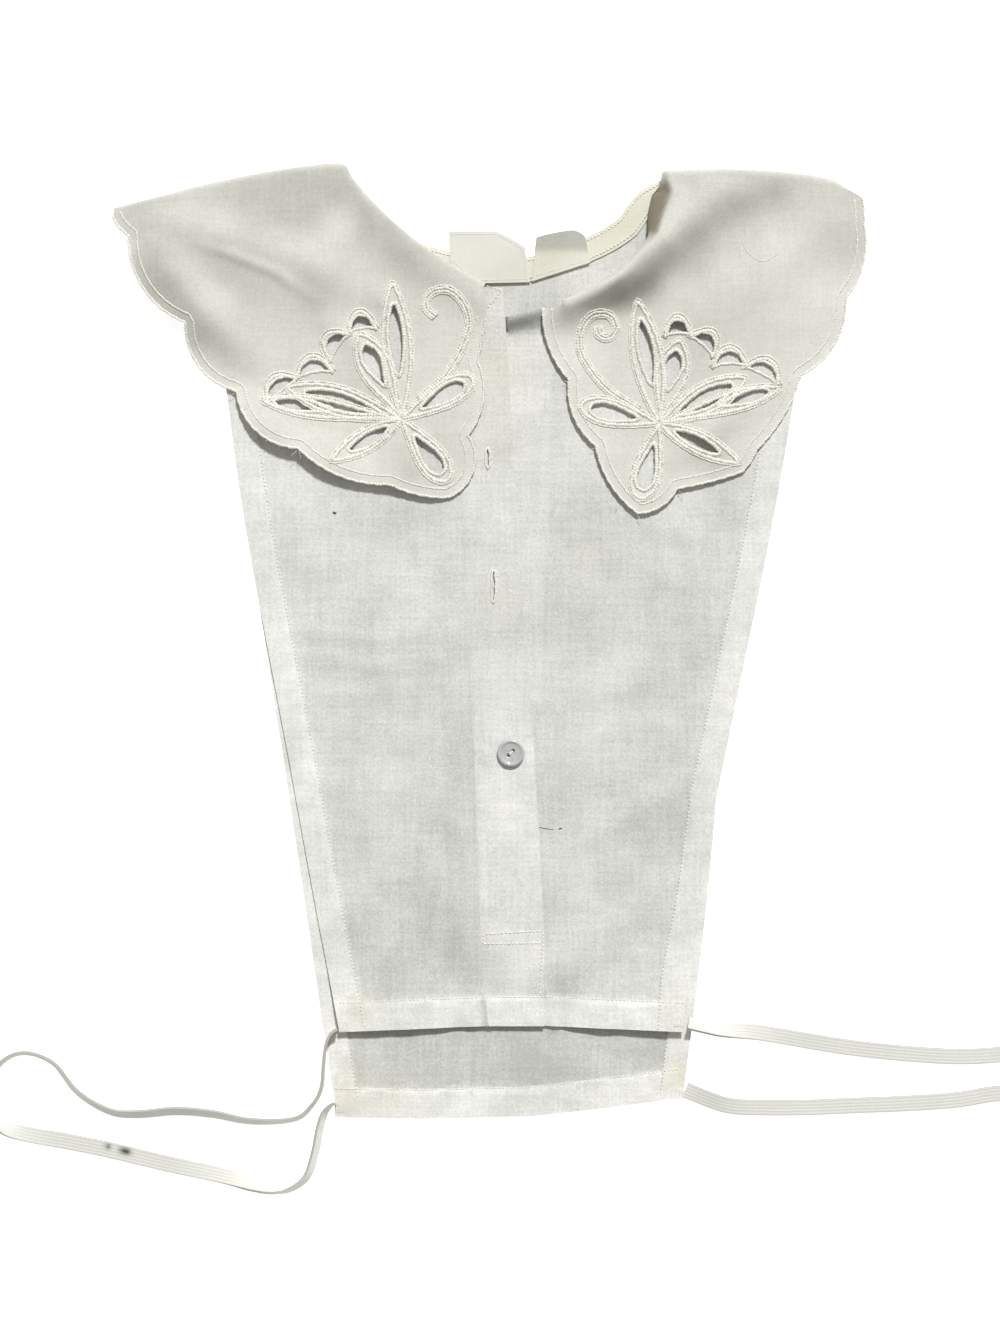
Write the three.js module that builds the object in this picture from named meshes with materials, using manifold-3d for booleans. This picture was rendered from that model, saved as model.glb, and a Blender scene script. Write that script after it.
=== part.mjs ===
// A false collar laid flat: a front bib in two halves, a longer back bib, a scalloped cutwork collar
// and two flat elastic side loops. Millimetres: X to the right, Y towards the neck, Z up.
import * as THREE from "three";
import { mergeVertices } from "three/addons/utils/BufferGeometryUtils.js";
import Module from "manifold-3d";

// Cloth and its layers
const CLOTH = 1; // wall of a cloth piece
const GAP = 0.3; // air between two layers, and at a seam
const LAYER = CLOTH + GAP;
const GRID = 12; // spacing of a flap's points
const ARC_STEP = 7; // longest straight step along a rounded edge
const TALL = 60; // height of a cutter, well above the whole garment

// Bibs
const BACK_DROP = { from: 40, to: 72 }; // Y where the back bib comes off the collar's back half
const PLACKET = { x: 5.6, y: 158.9, slope: 0.0575, width: 25 };
const RAMP = { width: 10, margin: 6 }; // the top front climbs onto the underlap, ending this far before it
const SIDE_SLOPE = 0.16; // how far a bib's side leans out for each mm towards the shoulder
const LEFT_SIDE = -118.1; // X of the left side at SIDE_Y
const RIGHT_SIDE = 137;
const SIDE_Y = 113;
const CENTRE_BACK = 6.3; // X of the collar's split and of the lowest point of the neckline

// Collar
const FLAP_DROP = { near: 4, far: 30 }; // the flap sinks to the surface this far outside a bib
const SHOULDER_REACH = 3; // how far the fold at the shoulder stands out from the flap's own edge
const NECK_REACH = 2.5;
const TURN = { arcs: 5, leg: 2.5, tuck: 0.4 }; // a turned edge: its steps, and how it sits in the flat cloth
const SATIN = 0.8; // height of the satin stitching above the cloth

// Trims
const BINDING_WIDTH = 12;
const BUTTON = { x: 9.2, y: -50.2, radius: 6.15, height: 2.2, rim: 1.1, dish: 0.5, hole: 0.8, pitch: 1.9 };
const ELASTIC = { width: 7, thickness: 1.2, pieces: 60 };

// Outlines run anticlockwise seen from above; bulge is how far the edge swells out before the next row.
const NECK_RIGHT = [
  { x: 79, y: 208.6, bulge: 0 },
  { x: 67, y: 202, bulge: 0.5 },
  { x: 58.3, y: 190.4, bulge: -0.6 },
  { x: 42.8, y: 181.4, bulge: -0.6 },
  { x: 20.5, y: 173.5, bulge: -0.6 },
];
const NECK_CENTRE = { x: CENTRE_BACK, y: 171.5, bulge: -0.3 };
const NECK_LEFT = [
  { x: -7.9, y: 172.9, bulge: -0.6 },
  { x: -30.2, y: 178.4, bulge: -0.6 },
  { x: -47.4, y: 187.6, bulge: 0.5 },
  { x: -57.6, y: 200, bulge: 0 },
  { x: -66.4, y: 211.4, bulge: 0 },
];
const NECKLINE = [...NECK_RIGHT, NECK_CENTRE, ...NECK_LEFT];

const BACK_SIDES = [
  { x: -131, y: 199, bulge: 0 },
  { x: -117.5, y: 105, bulge: 0.8 },
  { x: -104.5, y: 20, bulge: 0 },
  { x: -93, y: -53.5, bulge: 0 },
  { x: -81.8, y: -128.6, bulge: 0 },
  { x: -74.9, y: -176.8, bulge: 0 },
  { x: -70, y: -206.9, bulge: 0 },
  { x: -70, y: -214.1, bulge: 0 },
  { x: -31.7, y: -214.8, bulge: 0 },
  { x: 16.9, y: -213.7, bulge: 0.5 },
  { x: 86.6, y: -205.1, bulge: 0 },
  { x: 91.6, y: -166, bulge: 0.6 },
  { x: 101.7, y: -70.6, bulge: 0 },
  { x: 117.2, y: 5, bulge: 0.8 },
  { x: 137, y: 113, bulge: 0 },
  { x: 150, y: 203, bulge: 0 },
];

const FRONT_LEFT_EDGE = [
  { x: -131, y: 199, bulge: 0 },
  { x: -117.5, y: 105, bulge: 0.8 },
  { x: -104.5, y: 20, bulge: 0 },
  { x: -90.5, y: -53.5, bulge: 0 },
  { x: -77.2, y: -126.8, bulge: 0 },
  { x: -67.7, y: -175.4, bulge: 0 },
  { x: -2.5, y: -172.9, bulge: 0 },
  { x: 24.2, y: -172.9, bulge: 0 },
  { x: 24.4, y: -136, bulge: 1 },
  { x: 12.6, y: 36.5, bulge: 0.5 },
  { x: 5.6, y: 158.9, bulge: 0 },
  { x: -8, y: 158.4, bulge: -0.3 },
  { x: -40, y: 163.5, bulge: -0.8 },
  { x: -66, y: 183, bulge: 0 },
  { x: -75, y: 207, bulge: 0 },
];

const FRONT_RIGHT_EDGE = [
  { x: -18.5, y: 148, bulge: 0 },
  { x: -0.4, y: -172.6, bulge: 0 },
  { x: 23.6, y: -172.7, bulge: 0 },
  { x: 86.6, y: -175.4, bulge: 0 },
  { x: 88.2, y: -152.9, bulge: 1 },
  { x: 101.2, y: -70.6, bulge: 0 },
  { x: 117.2, y: 5, bulge: 0.8 },
  { x: 137, y: 113, bulge: 0 },
  { x: 150, y: 203, bulge: 0 },
  { x: 89, y: 205, bulge: 0 },
  { x: 84, y: 190, bulge: -0.8 },
  { x: 66, y: 166, bulge: -0.8 },
  { x: 42, y: 153, bulge: -0.4 },
  { x: 23, y: 149.8, bulge: 0 },
  { x: 9, y: 145.6, bulge: 0 },
];

const FLAP_LEFT_SCALLOPS = [
  { x: -169.9, y: 192, bulge: 1 },
  { x: -162.7, y: 181.9, bulge: 7.5 },
  { x: -137, y: 142.7, bulge: 7 },
  { x: -114.1, y: 111.9, bulge: 7 },
  { x: -86.2, y: 86, bulge: 4.6 },
  { x: -45.2, y: 69.8, bulge: 1.6 },
  { x: -19.1, y: 64, bulge: 7.3 },
  { x: -9.7, y: 92.3, bulge: 4.7 },
  { x: -5.4, y: 125.6, bulge: 0 },
  { x: -1.6, y: 144.5, bulge: 0 },
];
const FLAP_LEFT_NECK = [
  { x: -3.2, y: 158.2, bulge: -0.4 },
  { x: -20.5, y: 168.3, bulge: -0.6 },
  { x: -41.2, y: 182.9, bulge: -0.9 },
  { x: -64.6, y: 207.5, bulge: 0 },
];
const FLAP_LEFT_SHOULDER = [
  { x: -66.4, y: 211.7, bulge: 0.2 },
  { x: -76.6, y: 211.3, bulge: 0.4 },
  { x: -109.7, y: 206.2, bulge: 0.4 },
  { x: -139.9, y: 199.2, bulge: 0 },
  { x: -161.8, y: 193.6, bulge: 0 },
];

const FLAP_RIGHT_SCALLOPS = [
  { x: 23.2, y: 149, bulge: 3.3 },
  { x: 34.9, y: 117.1, bulge: 4.2 },
  { x: 47, y: 87.4, bulge: 3.5 },
  { x: 66, y: 57, bulge: 3 },
  { x: 83.9, y: 68.2, bulge: 0.7 },
  { x: 112.7, y: 75.5, bulge: 0.8 },
  { x: 119.5, y: 85.6, bulge: 2.6 },
  { x: 139.3, y: 118.7, bulge: 6 },
  { x: 160, y: 153.8, bulge: 3.9 },
  { x: 168.1, y: 187.3, bulge: 0.3 },
  { x: 167.4, y: 199, bulge: 0 },
];
const FLAP_RIGHT_SHOULDER = [
  { x: 161.2, y: 202.4, bulge: 0.3 },
  { x: 141.8, y: 206.8, bulge: 0.3 },
  { x: 106, y: 209.1, bulge: 0 },
  { x: 80, y: 208.6, bulge: 0 },
];
const FLAP_RIGHT_NECK = [
  { x: 82.6, y: 200.6, bulge: 0.4 },
  { x: 75.6, y: 180.7, bulge: -0.8 },
  { x: 55.6, y: 160.8, bulge: -0.5 },
  { x: 32.4, y: 150.4, bulge: -0.4 },
];

const NECK_LABEL = [
  { x: -18.7, y: 184.1, bulge: 0 },
  { x: -18.2, y: 172.6, bulge: 0 },
  { x: -5.9, y: 162.3, bulge: 0 },
  { x: 17.9, y: 161.2, bulge: 0 },
  { x: 15.5, y: 176.9, bulge: 0.4 },
  { x: 2.5, y: 184.1, bulge: 0 },
];
const CARE_LABEL = [
  { x: 20.5, y: 181.2, bulge: 0 },
  { x: 18.7, y: 161.6, bulge: 0 },
  { x: 44.8, y: 170, bulge: 0 },
  { x: 42.5, y: 181.7, bulge: 0.5 },
  { x: 37.1, y: 184.6, bulge: 0.5 },
];

// The collar's hidden back half is plain: a low scalloped edge from the shoulder corner to the centre back.
const BACK_HALF_LEFT = [
  { x: -164, y: 187, bulge: 6 },
  { x: -127, y: 135, bulge: 6 },
  { x: -88, y: 93, bulge: 3 },
  { x: -42, y: 82, bulge: 3 },
  { x: CENTRE_BACK - GAP / 2, y: 79, bulge: 0 },
  { x: CENTRE_BACK - GAP / 2, y: 171.5, bulge: -0.3 },
];
const BACK_HALF_RIGHT = [
  { x: CENTRE_BACK + GAP / 2, y: 171.5, bulge: 0 },
  { x: CENTRE_BACK + GAP / 2, y: 79, bulge: 3 },
  { x: 60, y: 82, bulge: 3 },
  { x: 106, y: 93, bulge: 5 },
  { x: 137, y: 135, bulge: 5 },
];

// Soft folds of the flaps: rounded ridges along a line, with their height and half width.
const FOLDS_LEFT = [
  [
    { x: -1.6, y: 152, height: 2.6, width: 9 },
    { x: -22, y: 166, height: 3, width: 10 },
    { x: -43, y: 182, height: 3.2, width: 10 },
    { x: -66, y: 209, height: 2.6, width: 12 },
  ],
  [
    { x: -150, y: 184, height: 1.8, width: 12 },
    { x: -118, y: 172, height: 3.2, width: 13 },
    { x: -76, y: 157, height: 2.6, width: 13 },
    { x: -50, y: 142, height: 0.6, width: 12 },
  ],
  [
    { x: -160, y: 172, height: 2.2, width: 9 },
    { x: -150, y: 158, height: 2.4, width: 9 },
    { x: -133, y: 140, height: 2.2, width: 9 },
  ],
];
const FOLDS_RIGHT = [
  [
    { x: 24, y: 146, height: 2.6, width: 8 },
    { x: 36, y: 152, height: 5, width: 9 },
    { x: 58, y: 163, height: 8, width: 10 },
    { x: 75, y: 180, height: 8.5, width: 11 },
    { x: 81, y: 200, height: 6.5, width: 12 },
    { x: 84, y: 207, height: 5, width: 14 },
  ],
  [
    { x: 66, y: 138, height: 1.2, width: 14 },
    { x: 96, y: 152, height: 2.6, width: 17 },
    { x: 128, y: 172, height: 3, width: 18 },
    { x: 152, y: 186, height: 2.4, width: 14 },
  ],
];

// Cutwork, in each flower's own frame with the wing side towards +X. A petal runs from the flower's
// heart to its tip, which the two flaps have in slightly different places. near and far give its hole
// along it, skew moves its widest place to the tip, and a blunt petal has a round tip.
const PETALS = [
  { left: [-8, 56.5], right: [-10, 55], width: 13, hole: 5.6, near: 0.32, far: 0.84, skew: 1.1 },
  { left: [10, 38.5], right: [9, 37.5], width: 14, hole: 7, near: 0.4, far: 0.86, skew: 1.6 },
  { left: [44, 23], right: [39, 20.5], width: 13, hole: 7, near: 0.2, far: 0.84, skew: 1.2 },
  { left: [55.5, 20], right: [54.5, 16], width: 9, hole: 4.2, near: 0.5, far: 0.9, skew: 1.6 },
  { left: [32.5, -11], right: [36, -18], width: 9.5, hole: 4.2, near: 0.2, far: 0.74, skew: 1 },
  {
    left: [-13.5, -29], right: [-9, -34], width: 12.5, hole: 7,
    near: 0.28, far: 0.86, skew: 1.9, blunt: true,
  },
  {
    left: [-32.5, 10.5], right: [-35.5, 8], width: 11.5, hole: 6.4,
    near: 0.28, far: 0.86, skew: 1.8, blunt: true,
  },
];
// A wing's edge is a row of curved cuts; bend is how far each arches away from the heart.
const WING_CUTS = [
  { x0: 3, y0: 39.6, x1: 13.6, y1: 40, width: 4.6, bend: 3.6 },
  { x0: 14.6, y0: 39, x1: 24, y1: 30.6, width: 4.4, bend: 3.4 },
  { x0: 24.6, y0: 26, x1: 38.6, y1: 26.4, width: 4.4, bend: 3.6 },
  { x0: 39.6, y0: 25.6, x1: 53, y1: 18.6, width: 4.2, bend: 2.8 },
];
const CURL = [
  { x: -9, y: 6 },
  { x: -24, y: 16 },
  { x: -34.5, y: 30 },
  { x: -35.5, y: 40 },
  { x: -30.5, y: 48 },
  { x: -23, y: 48.6 },
  { x: -19.5, y: 43.5 },
  { x: -22.5, y: 38.5 },
];
const SATIN_WIDTH = 2.2;
const HEART = 2.2; // radius of the flower's stitched heart
const FLOWER_LEFT = { flap: "left", x: -39.8, y: 99.5, side: -1, turn: -12, scale: 1.08 };
const FLOWER_RIGHT = { flap: "right", x: 75.8, y: 97.7, side: 1, turn: 0, scale: 1 };

// Elastic loops: turn is the band's roll, 0 flat and 90 on its edge; lift raises it over a hem.
const LOOP_LEFT = [
  { x: -68.9, y: -174, turn: 90, lift: 1.3 },
  { x: -71.6, y: -176, turn: 90, lift: 1.3 },
  { x: -74, y: -181.7, turn: 90, lift: 1.3 },
  { x: -74.9, y: -191.2, turn: 88, lift: 0.8 },
  { x: -75.8, y: -200.6, turn: 84, lift: 0.1 },
  { x: -80, y: -208.3, turn: 80, lift: 0 },
  { x: -88, y: -214.6, turn: 74, lift: 0 },
  { x: -107.3, y: -215.5, turn: 66, lift: 0 },
  { x: -124.4, y: -212.3, turn: 60, lift: 0 },
  { x: -141.1, y: -210.9, turn: 58, lift: 0 },
  { x: -158.2, y: -212.3, turn: 60, lift: 0 },
  { x: -171.2, y: -211, turn: 64, lift: 0 },
  { x: -185.6, y: -202.4, turn: 70, lift: 0 },
  { x: -196.4, y: -189.4, turn: 74, lift: 0 },
  { x: -209.9, y: -184.9, turn: 78, lift: 0 },
  { x: -220.7, y: -190.3, turn: 82, lift: 0 },
  { x: -225.6, y: -203, turn: 80, lift: 0 },
  { x: -220.7, y: -216.4, turn: 50, lift: 0 },
  { x: -210, y: -221.2, turn: 14, lift: 0 },
  { x: -190, y: -225, turn: 0, lift: 0 },
  { x: -172.6, y: -228.5, turn: 0, lift: 0 },
  { x: -143.8, y: -235.3, turn: 0, lift: 0 },
  { x: -118.1, y: -240.7, turn: 24, lift: 0 },
  { x: -106.2, y: -244.7, turn: 60, lift: 0 },
  { x: -97.9, y: -247.3, turn: 82, lift: 0 },
  { x: -90.7, y: -246.5, turn: 90, lift: 0 },
  { x: -82.5, y: -240.5, turn: 90, lift: 0 },
  { x: -78.5, y: -228.5, turn: 90, lift: 0 },
  { x: -76.7, y: -219, turn: 90, lift: 0 },
  { x: -74.6, y: -211.9, turn: 90, lift: 0 },
  { x: -70.9, y: -207.8, turn: 90, lift: 0 },
];
const LOOP_RIGHT = [
  { x: 88.9, y: -171.5, turn: 4, lift: 1.4 },
  { x: 97.4, y: -174, turn: 40, lift: 1.2 },
  { x: 104.2, y: -176, turn: 26, lift: 0.2 },
  { x: 118.1, y: -175.6, turn: 4, lift: 0 },
  { x: 129.8, y: -176.9, turn: 0, lift: 0 },
  { x: 146.9, y: -180.4, turn: 0, lift: 0 },
  { x: 164, y: -183, turn: 0, lift: 0 },
  { x: 187, y: -185.4, turn: 0, lift: 0 },
  { x: 209.9, y: -186.7, turn: 0, lift: 0 },
  { x: 229.3, y: -185.8, turn: 0, lift: 0 },
  { x: 250, y: -183, turn: 8, lift: 0 },
  { x: 266, y: -181.5, turn: 40, lift: 0 },
  { x: 277, y: -184.8, turn: 80, lift: 0 },
  { x: 281.6, y: -193, turn: 90, lift: 0 },
  { x: 278, y: -201.6, turn: 80, lift: 0 },
  { x: 267, y: -205.6, turn: 40, lift: 0 },
  { x: 250, y: -205, turn: 8, lift: 0 },
  { x: 229.3, y: -203.3, turn: 0, lift: 0 },
  { x: 209.9, y: -206.2, turn: 0, lift: 0 },
  { x: 187, y: -207.8, turn: 0, lift: 0 },
  { x: 164, y: -208.7, turn: 0, lift: 0 },
  { x: 141.1, y: -209.6, turn: 0, lift: 0 },
  { x: 118.1, y: -209.6, turn: 0, lift: 0 },
  { x: 106.9, y: -208.7, turn: 6, lift: 0 },
  { x: 97.4, y: -205.6, turn: 10, lift: 0 },
  { x: 90, y: -202.4, turn: 4, lift: 0 },
];

const wasm = await Module();
wasm.setup();
const { smoothstep, lerp, degToRad, clamp } = THREE.MathUtils;

// A closed geometry as a solid that can be joined and cut.
function solidOf(geometry) {
  const bare = geometry.clone();
  bare.deleteAttribute("normal");
  bare.deleteAttribute("uv");
  const merged = mergeVertices(bare, 1e-3);
  return new wasm.Manifold(
    new wasm.Mesh({
      numProp: 3,
      vertProperties: merged.attributes.position.array,
      triVerts: new Uint32Array(merged.index.array),
    }),
  );
}

function meshOf(name, solid, material) {
  const { numProp, numVert, vertProperties, triVerts } = solid.getMesh();
  const position = new Float32Array(numVert * 3);
  for (let i = 0; i < numVert; i++) {
    position.set(vertProperties.subarray(i * numProp, i * numProp + 3), i * 3);
  }
  const geometry = new THREE.BufferGeometry();
  geometry.setAttribute("position", new THREE.BufferAttribute(position, 3));
  geometry.setIndex(new THREE.BufferAttribute(triVerts, 1));
  geometry.computeVertexNormals();
  const mesh = new THREE.Mesh(geometry, material);
  mesh.name = name;
  return mesh;
}

// Points along rows of { x, y, bulge }; each span is an arc that swells to the right of travel by bulge.
function edgePoints(rows, closed) {
  const points = [];
  const spans = closed ? rows.length : rows.length - 1;
  for (let i = 0; i < spans; i++) {
    const a = rows[i];
    const b = rows[(i + 1) % rows.length];
    const along = new THREE.Vector2(b.x - a.x, b.y - a.y);
    const chord = along.length();
    const out = new THREE.Vector2(along.y, -along.x).divideScalar(chord);
    const steps = a.bulge ? Math.max(2, Math.ceil(chord / ARC_STEP)) : 1;
    for (let k = 0; k < steps; k++) {
      const t = k / steps;
      const swell = arcHeight(t, chord, a.bulge);
      points.push(new THREE.Vector2(a.x + along.x * t + out.x * swell, a.y + along.y * t + out.y * swell));
    }
  }
  if (!closed) {
    const last = rows[rows.length - 1];
    points.push(new THREE.Vector2(last.x, last.y));
  }
  return points;
}

// Height above its chord, at a share t of the way, of a circular arc with the given greatest height.
function arcHeight(t, chord, bulge) {
  if (!bulge) return 0;
  const half = chord / 2;
  const radius = (half * half + bulge * bulge) / (2 * Math.abs(bulge));
  const across = (t - 0.5) * chord;
  const fromCentre = Math.sqrt(Math.max(0, radius * radius - across * across));
  return Math.sign(bulge) * (fromCentre - radius + Math.abs(bulge));
}

function prism(points, z = -TALL / 2, height = TALL) {
  const geometry = new THREE.ExtrudeGeometry(new THREE.Shape(points), { depth: height, bevelEnabled: false });
  return solidOf(geometry.translate(0, 0, z));
}

// A closed sheet: place(u, v, side) gives a point of it, u and v from 0 to 1, side 0 under and 1 over.
function thickSheet(columns, rows, place) {
  const geometry = new THREE.BoxGeometry(1, 1, 1, columns, rows, 1);
  const position = geometry.attributes.position;
  for (let i = 0; i < position.count; i++) {
    const side = position.getZ(i) > 0 ? 1 : 0;
    const at = place(position.getX(i) + 0.5, position.getY(i) + 0.5, side);
    position.setXYZ(i, at.x, at.y, at.z);
  }
  return solidOf(geometry);
}

// Even steps from one value to another.
function steps(from, to, count) {
  return Array.from({ length: count + 1 }, (_, i) => lerp(from, to, i / count));
}

// Lines of a bib's points, close together where it changes height and far apart where it is flat.
const DROP_LINES = [-TALL * 4, ...steps(BACK_DROP.from, BACK_DROP.to, 5), TALL * 4];
const RAMP_END = -PLACKET.width - RAMP.margin;
const RAMP_LINES = [-TALL * 3, ...steps(RAMP_END - RAMP.width, RAMP_END, 4), TALL];

// Cloth that lies at low(x, y), cut later to its outline. Its points stand where the lines xs and ys
// cross, and lean(y) moves the xs sideways.
function draped(xs, ys, low, thickness, lean = () => 0) {
  return thickSheet(xs.length - 1, ys.length - 1, (u, v, side) => {
    const y = ys[Math.round(v * (ys.length - 1))];
    const x = xs[Math.round(u * (xs.length - 1))] + lean(y);
    return new THREE.Vector3(x, y, low(x, y) + side * thickness);
  });
}

// The same over the whole box of an outline, on an even grid.
function drapedOver(points, low, thickness) {
  const box = new THREE.Box2().setFromPoints(points);
  const lines = (from, to) => steps(from - 1, to + 1, Math.round((to - from) / GRID));
  return draped(lines(box.min.x, box.max.x), lines(box.min.y, box.max.y), low, thickness);
}

function bib(rows, low, xs = [-TALL * 3, TALL * 3], lean = undefined) {
  return draped(xs, DROP_LINES, low, CLOTH, lean).intersect(prism(edgePoints(rows, true)));
}

// Unit vectors to the right of travel at each point of a path.
function rightNormals(points) {
  return points.map((p, i) => {
    const before = points[Math.max(0, i - 1)];
    const after = points[Math.min(points.length - 1, i + 1)];
    const along = after.clone().sub(before).normalize();
    return new THREE.Vector2(along.y, -along.x);
  });
}

// The rounded turn of cloth along an edge, from high(x, y) over and down to low(x, y).
function turnedEdge(rows, high, low, reach) {
  const points = edgePoints(rows, false);
  const normals = rightNormals(points);
  const { arcs, leg, tuck } = TURN;
  return thickSheet(points.length - 1, arcs + 2, (u, v, side) => {
    const i = Math.round(u * (points.length - 1));
    const j = Math.round(v * (arcs + 2));
    const onLeg = j === 0 || j === arcs + 2;
    const inset = (1 - side) * CLOTH;
    const angle = Math.PI * (clamp((j - 1) / arcs, 0, 1) - 0.5);
    const out = onLeg ? -leg : (reach + tuck - inset) * Math.cos(angle) - tuck;
    const p = points[i];
    const top = high(p.x, p.y);
    const bottom = low(p.x, p.y);
    const depth = onLeg ? lerp(inset, CLOTH / 2, tuck) : inset;
    const z = (top + bottom) / 2 + ((top - bottom) / 2 - depth) * Math.sin(angle);
    return new THREE.Vector3(p.x + normals[i].x * out, p.y + normals[i].y * out, z);
  });
}

// Height of the soft folds at a place: each is a ridge that follows its own line.
function foldHeight(folds, x, y) {
  let height = 0;
  for (const line of folds) {
    let best = 0;
    for (let i = 0; i + 1 < line.length; i++) {
      const a = line[i];
      const b = line[i + 1];
      const dx = b.x - a.x;
      const dy = b.y - a.y;
      const t = clamp(((x - a.x) * dx + (y - a.y) * dy) / (dx * dx + dy * dy), 0, 1);
      const away = Math.hypot(x - a.x - dx * t, y - a.y - dy * t) / lerp(a.width, b.width, t);
      best = Math.max(best, lerp(a.height, b.height, t) * Math.exp(-away * away));
    }
    height += best;
  }
  return height;
}

// Undersides of the layers
const placketEdge = (y) => PLACKET.x + (PLACKET.y - y) * PLACKET.slope;
const backLow = (x, y) => LAYER * smoothstep(y, BACK_DROP.from, BACK_DROP.to);
const frontLow = (x, y) => backLow(x, y) + LAYER;
const climb = (x, y, early = 0) => smoothstep(x - placketEdge(y) + early, RAMP_END - RAMP.width, RAMP_END);
const frontLeftLow = (x, y) => frontLow(x, y) + LAYER * climb(x, y);
const flapDrop = (outside) => 2 * LAYER * smoothstep(outside, FLAP_DROP.near, FLAP_DROP.far);
const flapLeftSeat = (x, y) => {
  const side = LEFT_SIDE - (y - SIDE_Y) * SIDE_SLOPE;
  return frontLow(x, y) + LAYER * (1 + climb(x, y, 2 * GRID)) - flapDrop(side - x);
};
const flapRightSeat = (x, y) => {
  const side = RIGHT_SIDE + (y - SIDE_Y) * SIDE_SLOPE;
  return frontLow(x, y) + LAYER - flapDrop(x - side);
};
const flapLeftLow = (x, y) => flapLeftSeat(x, y) + foldHeight(FOLDS_LEFT, x, y);
const flapRightLow = (x, y) => flapRightSeat(x, y) + foldHeight(FOLDS_RIGHT, x, y);

// A pointed, or at b blunt, outline from a to b, with a sideways bend.
function leaf(a, b, width, skew, bend = 0, blunt = false) {
  const count = 7;
  const along = b.clone().sub(a);
  const length = along.length();
  const left = new THREE.Vector2(-along.y, along.x).divideScalar(length);
  const at = (t, half) => {
    const off = half * Math.sin(Math.PI * t ** skew) ** (blunt ? 0.5 : 0.8) + arcHeight(t, length, bend);
    return a.clone().addScaledVector(along, t).addScaledVector(left, off);
  };
  const points = [];
  for (let i = 0; i < count; i++) points.push(at(i / count, -width / 2));
  for (let i = count; i > 0; i--) points.push(at(i / count, width / 2));
  return points;
}

function inFlower(flower, x, y) {
  const at = new THREE.Vector2(x, y).rotateAround(new THREE.Vector2(), degToRad(flower.turn));
  at.multiplyScalar(flower.scale);
  return new THREE.Vector2(flower.x + at.x * flower.side, flower.y + at.y);
}

// The flower's raised satin and its holes, as upright cutters.
function cutwork(flower) {
  const holes = [];
  const place = (x, y) => inFlower(flower, x, y);
  const heart = new THREE.Path().absarc(flower.x, flower.y, HEART, 0, 2 * Math.PI);
  const satin = [prism(heart.getPoints(10).slice(1))];
  for (const { [flower.flap]: [x, y], width, hole, near, far, skew, blunt } of PETALS) {
    satin.push(prism(leaf(place(0, 0), place(x, y), width, skew, 0, blunt)));
    holes.push(prism(leaf(place(x * near, y * near), place(x * far, y * far), hole, skew, 0, blunt)));
  }
  for (const { x0, y0, x1, y1, width, bend } of WING_CUTS) {
    const a = place(x0, y0);
    const b = place(x1, y1);
    const reach = b.clone().sub(a).setLength(SATIN_WIDTH);
    const arch = bend * flower.side;
    holes.push(prism(leaf(a, b, width, 1, arch)));
    satin.push(prism(leaf(a.clone().sub(reach), b.clone().add(reach), width + 2 * SATIN_WIDTH, 1, arch)));
  }
  const line = new THREE.SplineCurve(CURL.map(({ x, y }) => place(x, y))).getPoints(20);
  const normals = rightNormals(line);
  const side = (sign) => line.map((p, i) => p.clone().addScaledVector(normals[i], (sign * SATIN_WIDTH) / 2));
  satin.push(prism([...side(1), ...side(-1).reverse()]));
  return { satin: wasm.Manifold.union(satin), holes: wasm.Manifold.union(holes) };
}

// Half a collar: its flap with cutwork, the shoulder fold, the neck roll and the plain back half.
function collarHalf({ scallops, shoulder, neck, neckFirst, backHalf, low, seat, flower }) {
  const rows = neckFirst ? [...scallops, ...neck, ...shoulder] : [...scallops, ...shoulder, ...neck];
  const high = (x, y) => low(x, y) + CLOTH;
  const points = edgePoints(rows, true);
  const { satin, holes } = cutwork(flower);
  const outline = prism(points);
  const flap = drapedOver(points, low, CLOTH).intersect(outline);
  const raised = drapedOver(points, low, CLOTH + SATIN).intersect(outline.intersect(satin));
  return flap
    .add(raised)
    .subtract(holes)
    .add(turnedEdge(shoulder, high, () => 0, SHOULDER_REACH))
    .add(turnedEdge(neck, high, seat, NECK_REACH))
    .add(prism(edgePoints(backHalf, true), 0, CLOTH));
}

function neckBinding() {
  const edge = edgePoints(NECKLINE.slice(1, -1), false);
  const normals = rightNormals(edge);
  const inner = edge.map((p, i) => p.clone().addScaledVector(normals[i], -BINDING_WIDTH));
  return prism([...edge, ...inner.reverse()], frontLow(0, BACK_DROP.to), CLOTH);
}

// A sewn label: a flat piece of cloth that lies on the binding.
function label(rows) {
  return prism(edgePoints(rows, true), frontLow(0, BACK_DROP.to) + LAYER, CLOTH);
}

function button() {
  const { radius, height, rim, dish, hole, pitch, x, y } = BUTTON;
  const profile = [
    [0, 0],
    [radius * 0.72, 0],
    [radius, height * 0.45],
    [radius, height * 0.7],
    [radius - rim * 0.5, height],
    [radius - rim, height],
    [radius - rim - dish, height - dish],
    [0, height - dish],
  ].map(([r, z]) => new THREE.Vector2(r, z));
  const disc = solidOf(new THREE.LatheGeometry(profile, 32).rotateX(Math.PI / 2));
  const drill = (side) => {
    const geometry = new THREE.CylinderGeometry(hole, hole, 4 * height, 12).rotateX(Math.PI / 2);
    return solidOf(geometry.translate((side * pitch) / 2, (side * pitch) / 2, 0));
  };
  return disc.subtract(drill(1)).subtract(drill(-1)).translate([x, y, frontLeftLow(x, y) + LAYER]);
}

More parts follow.
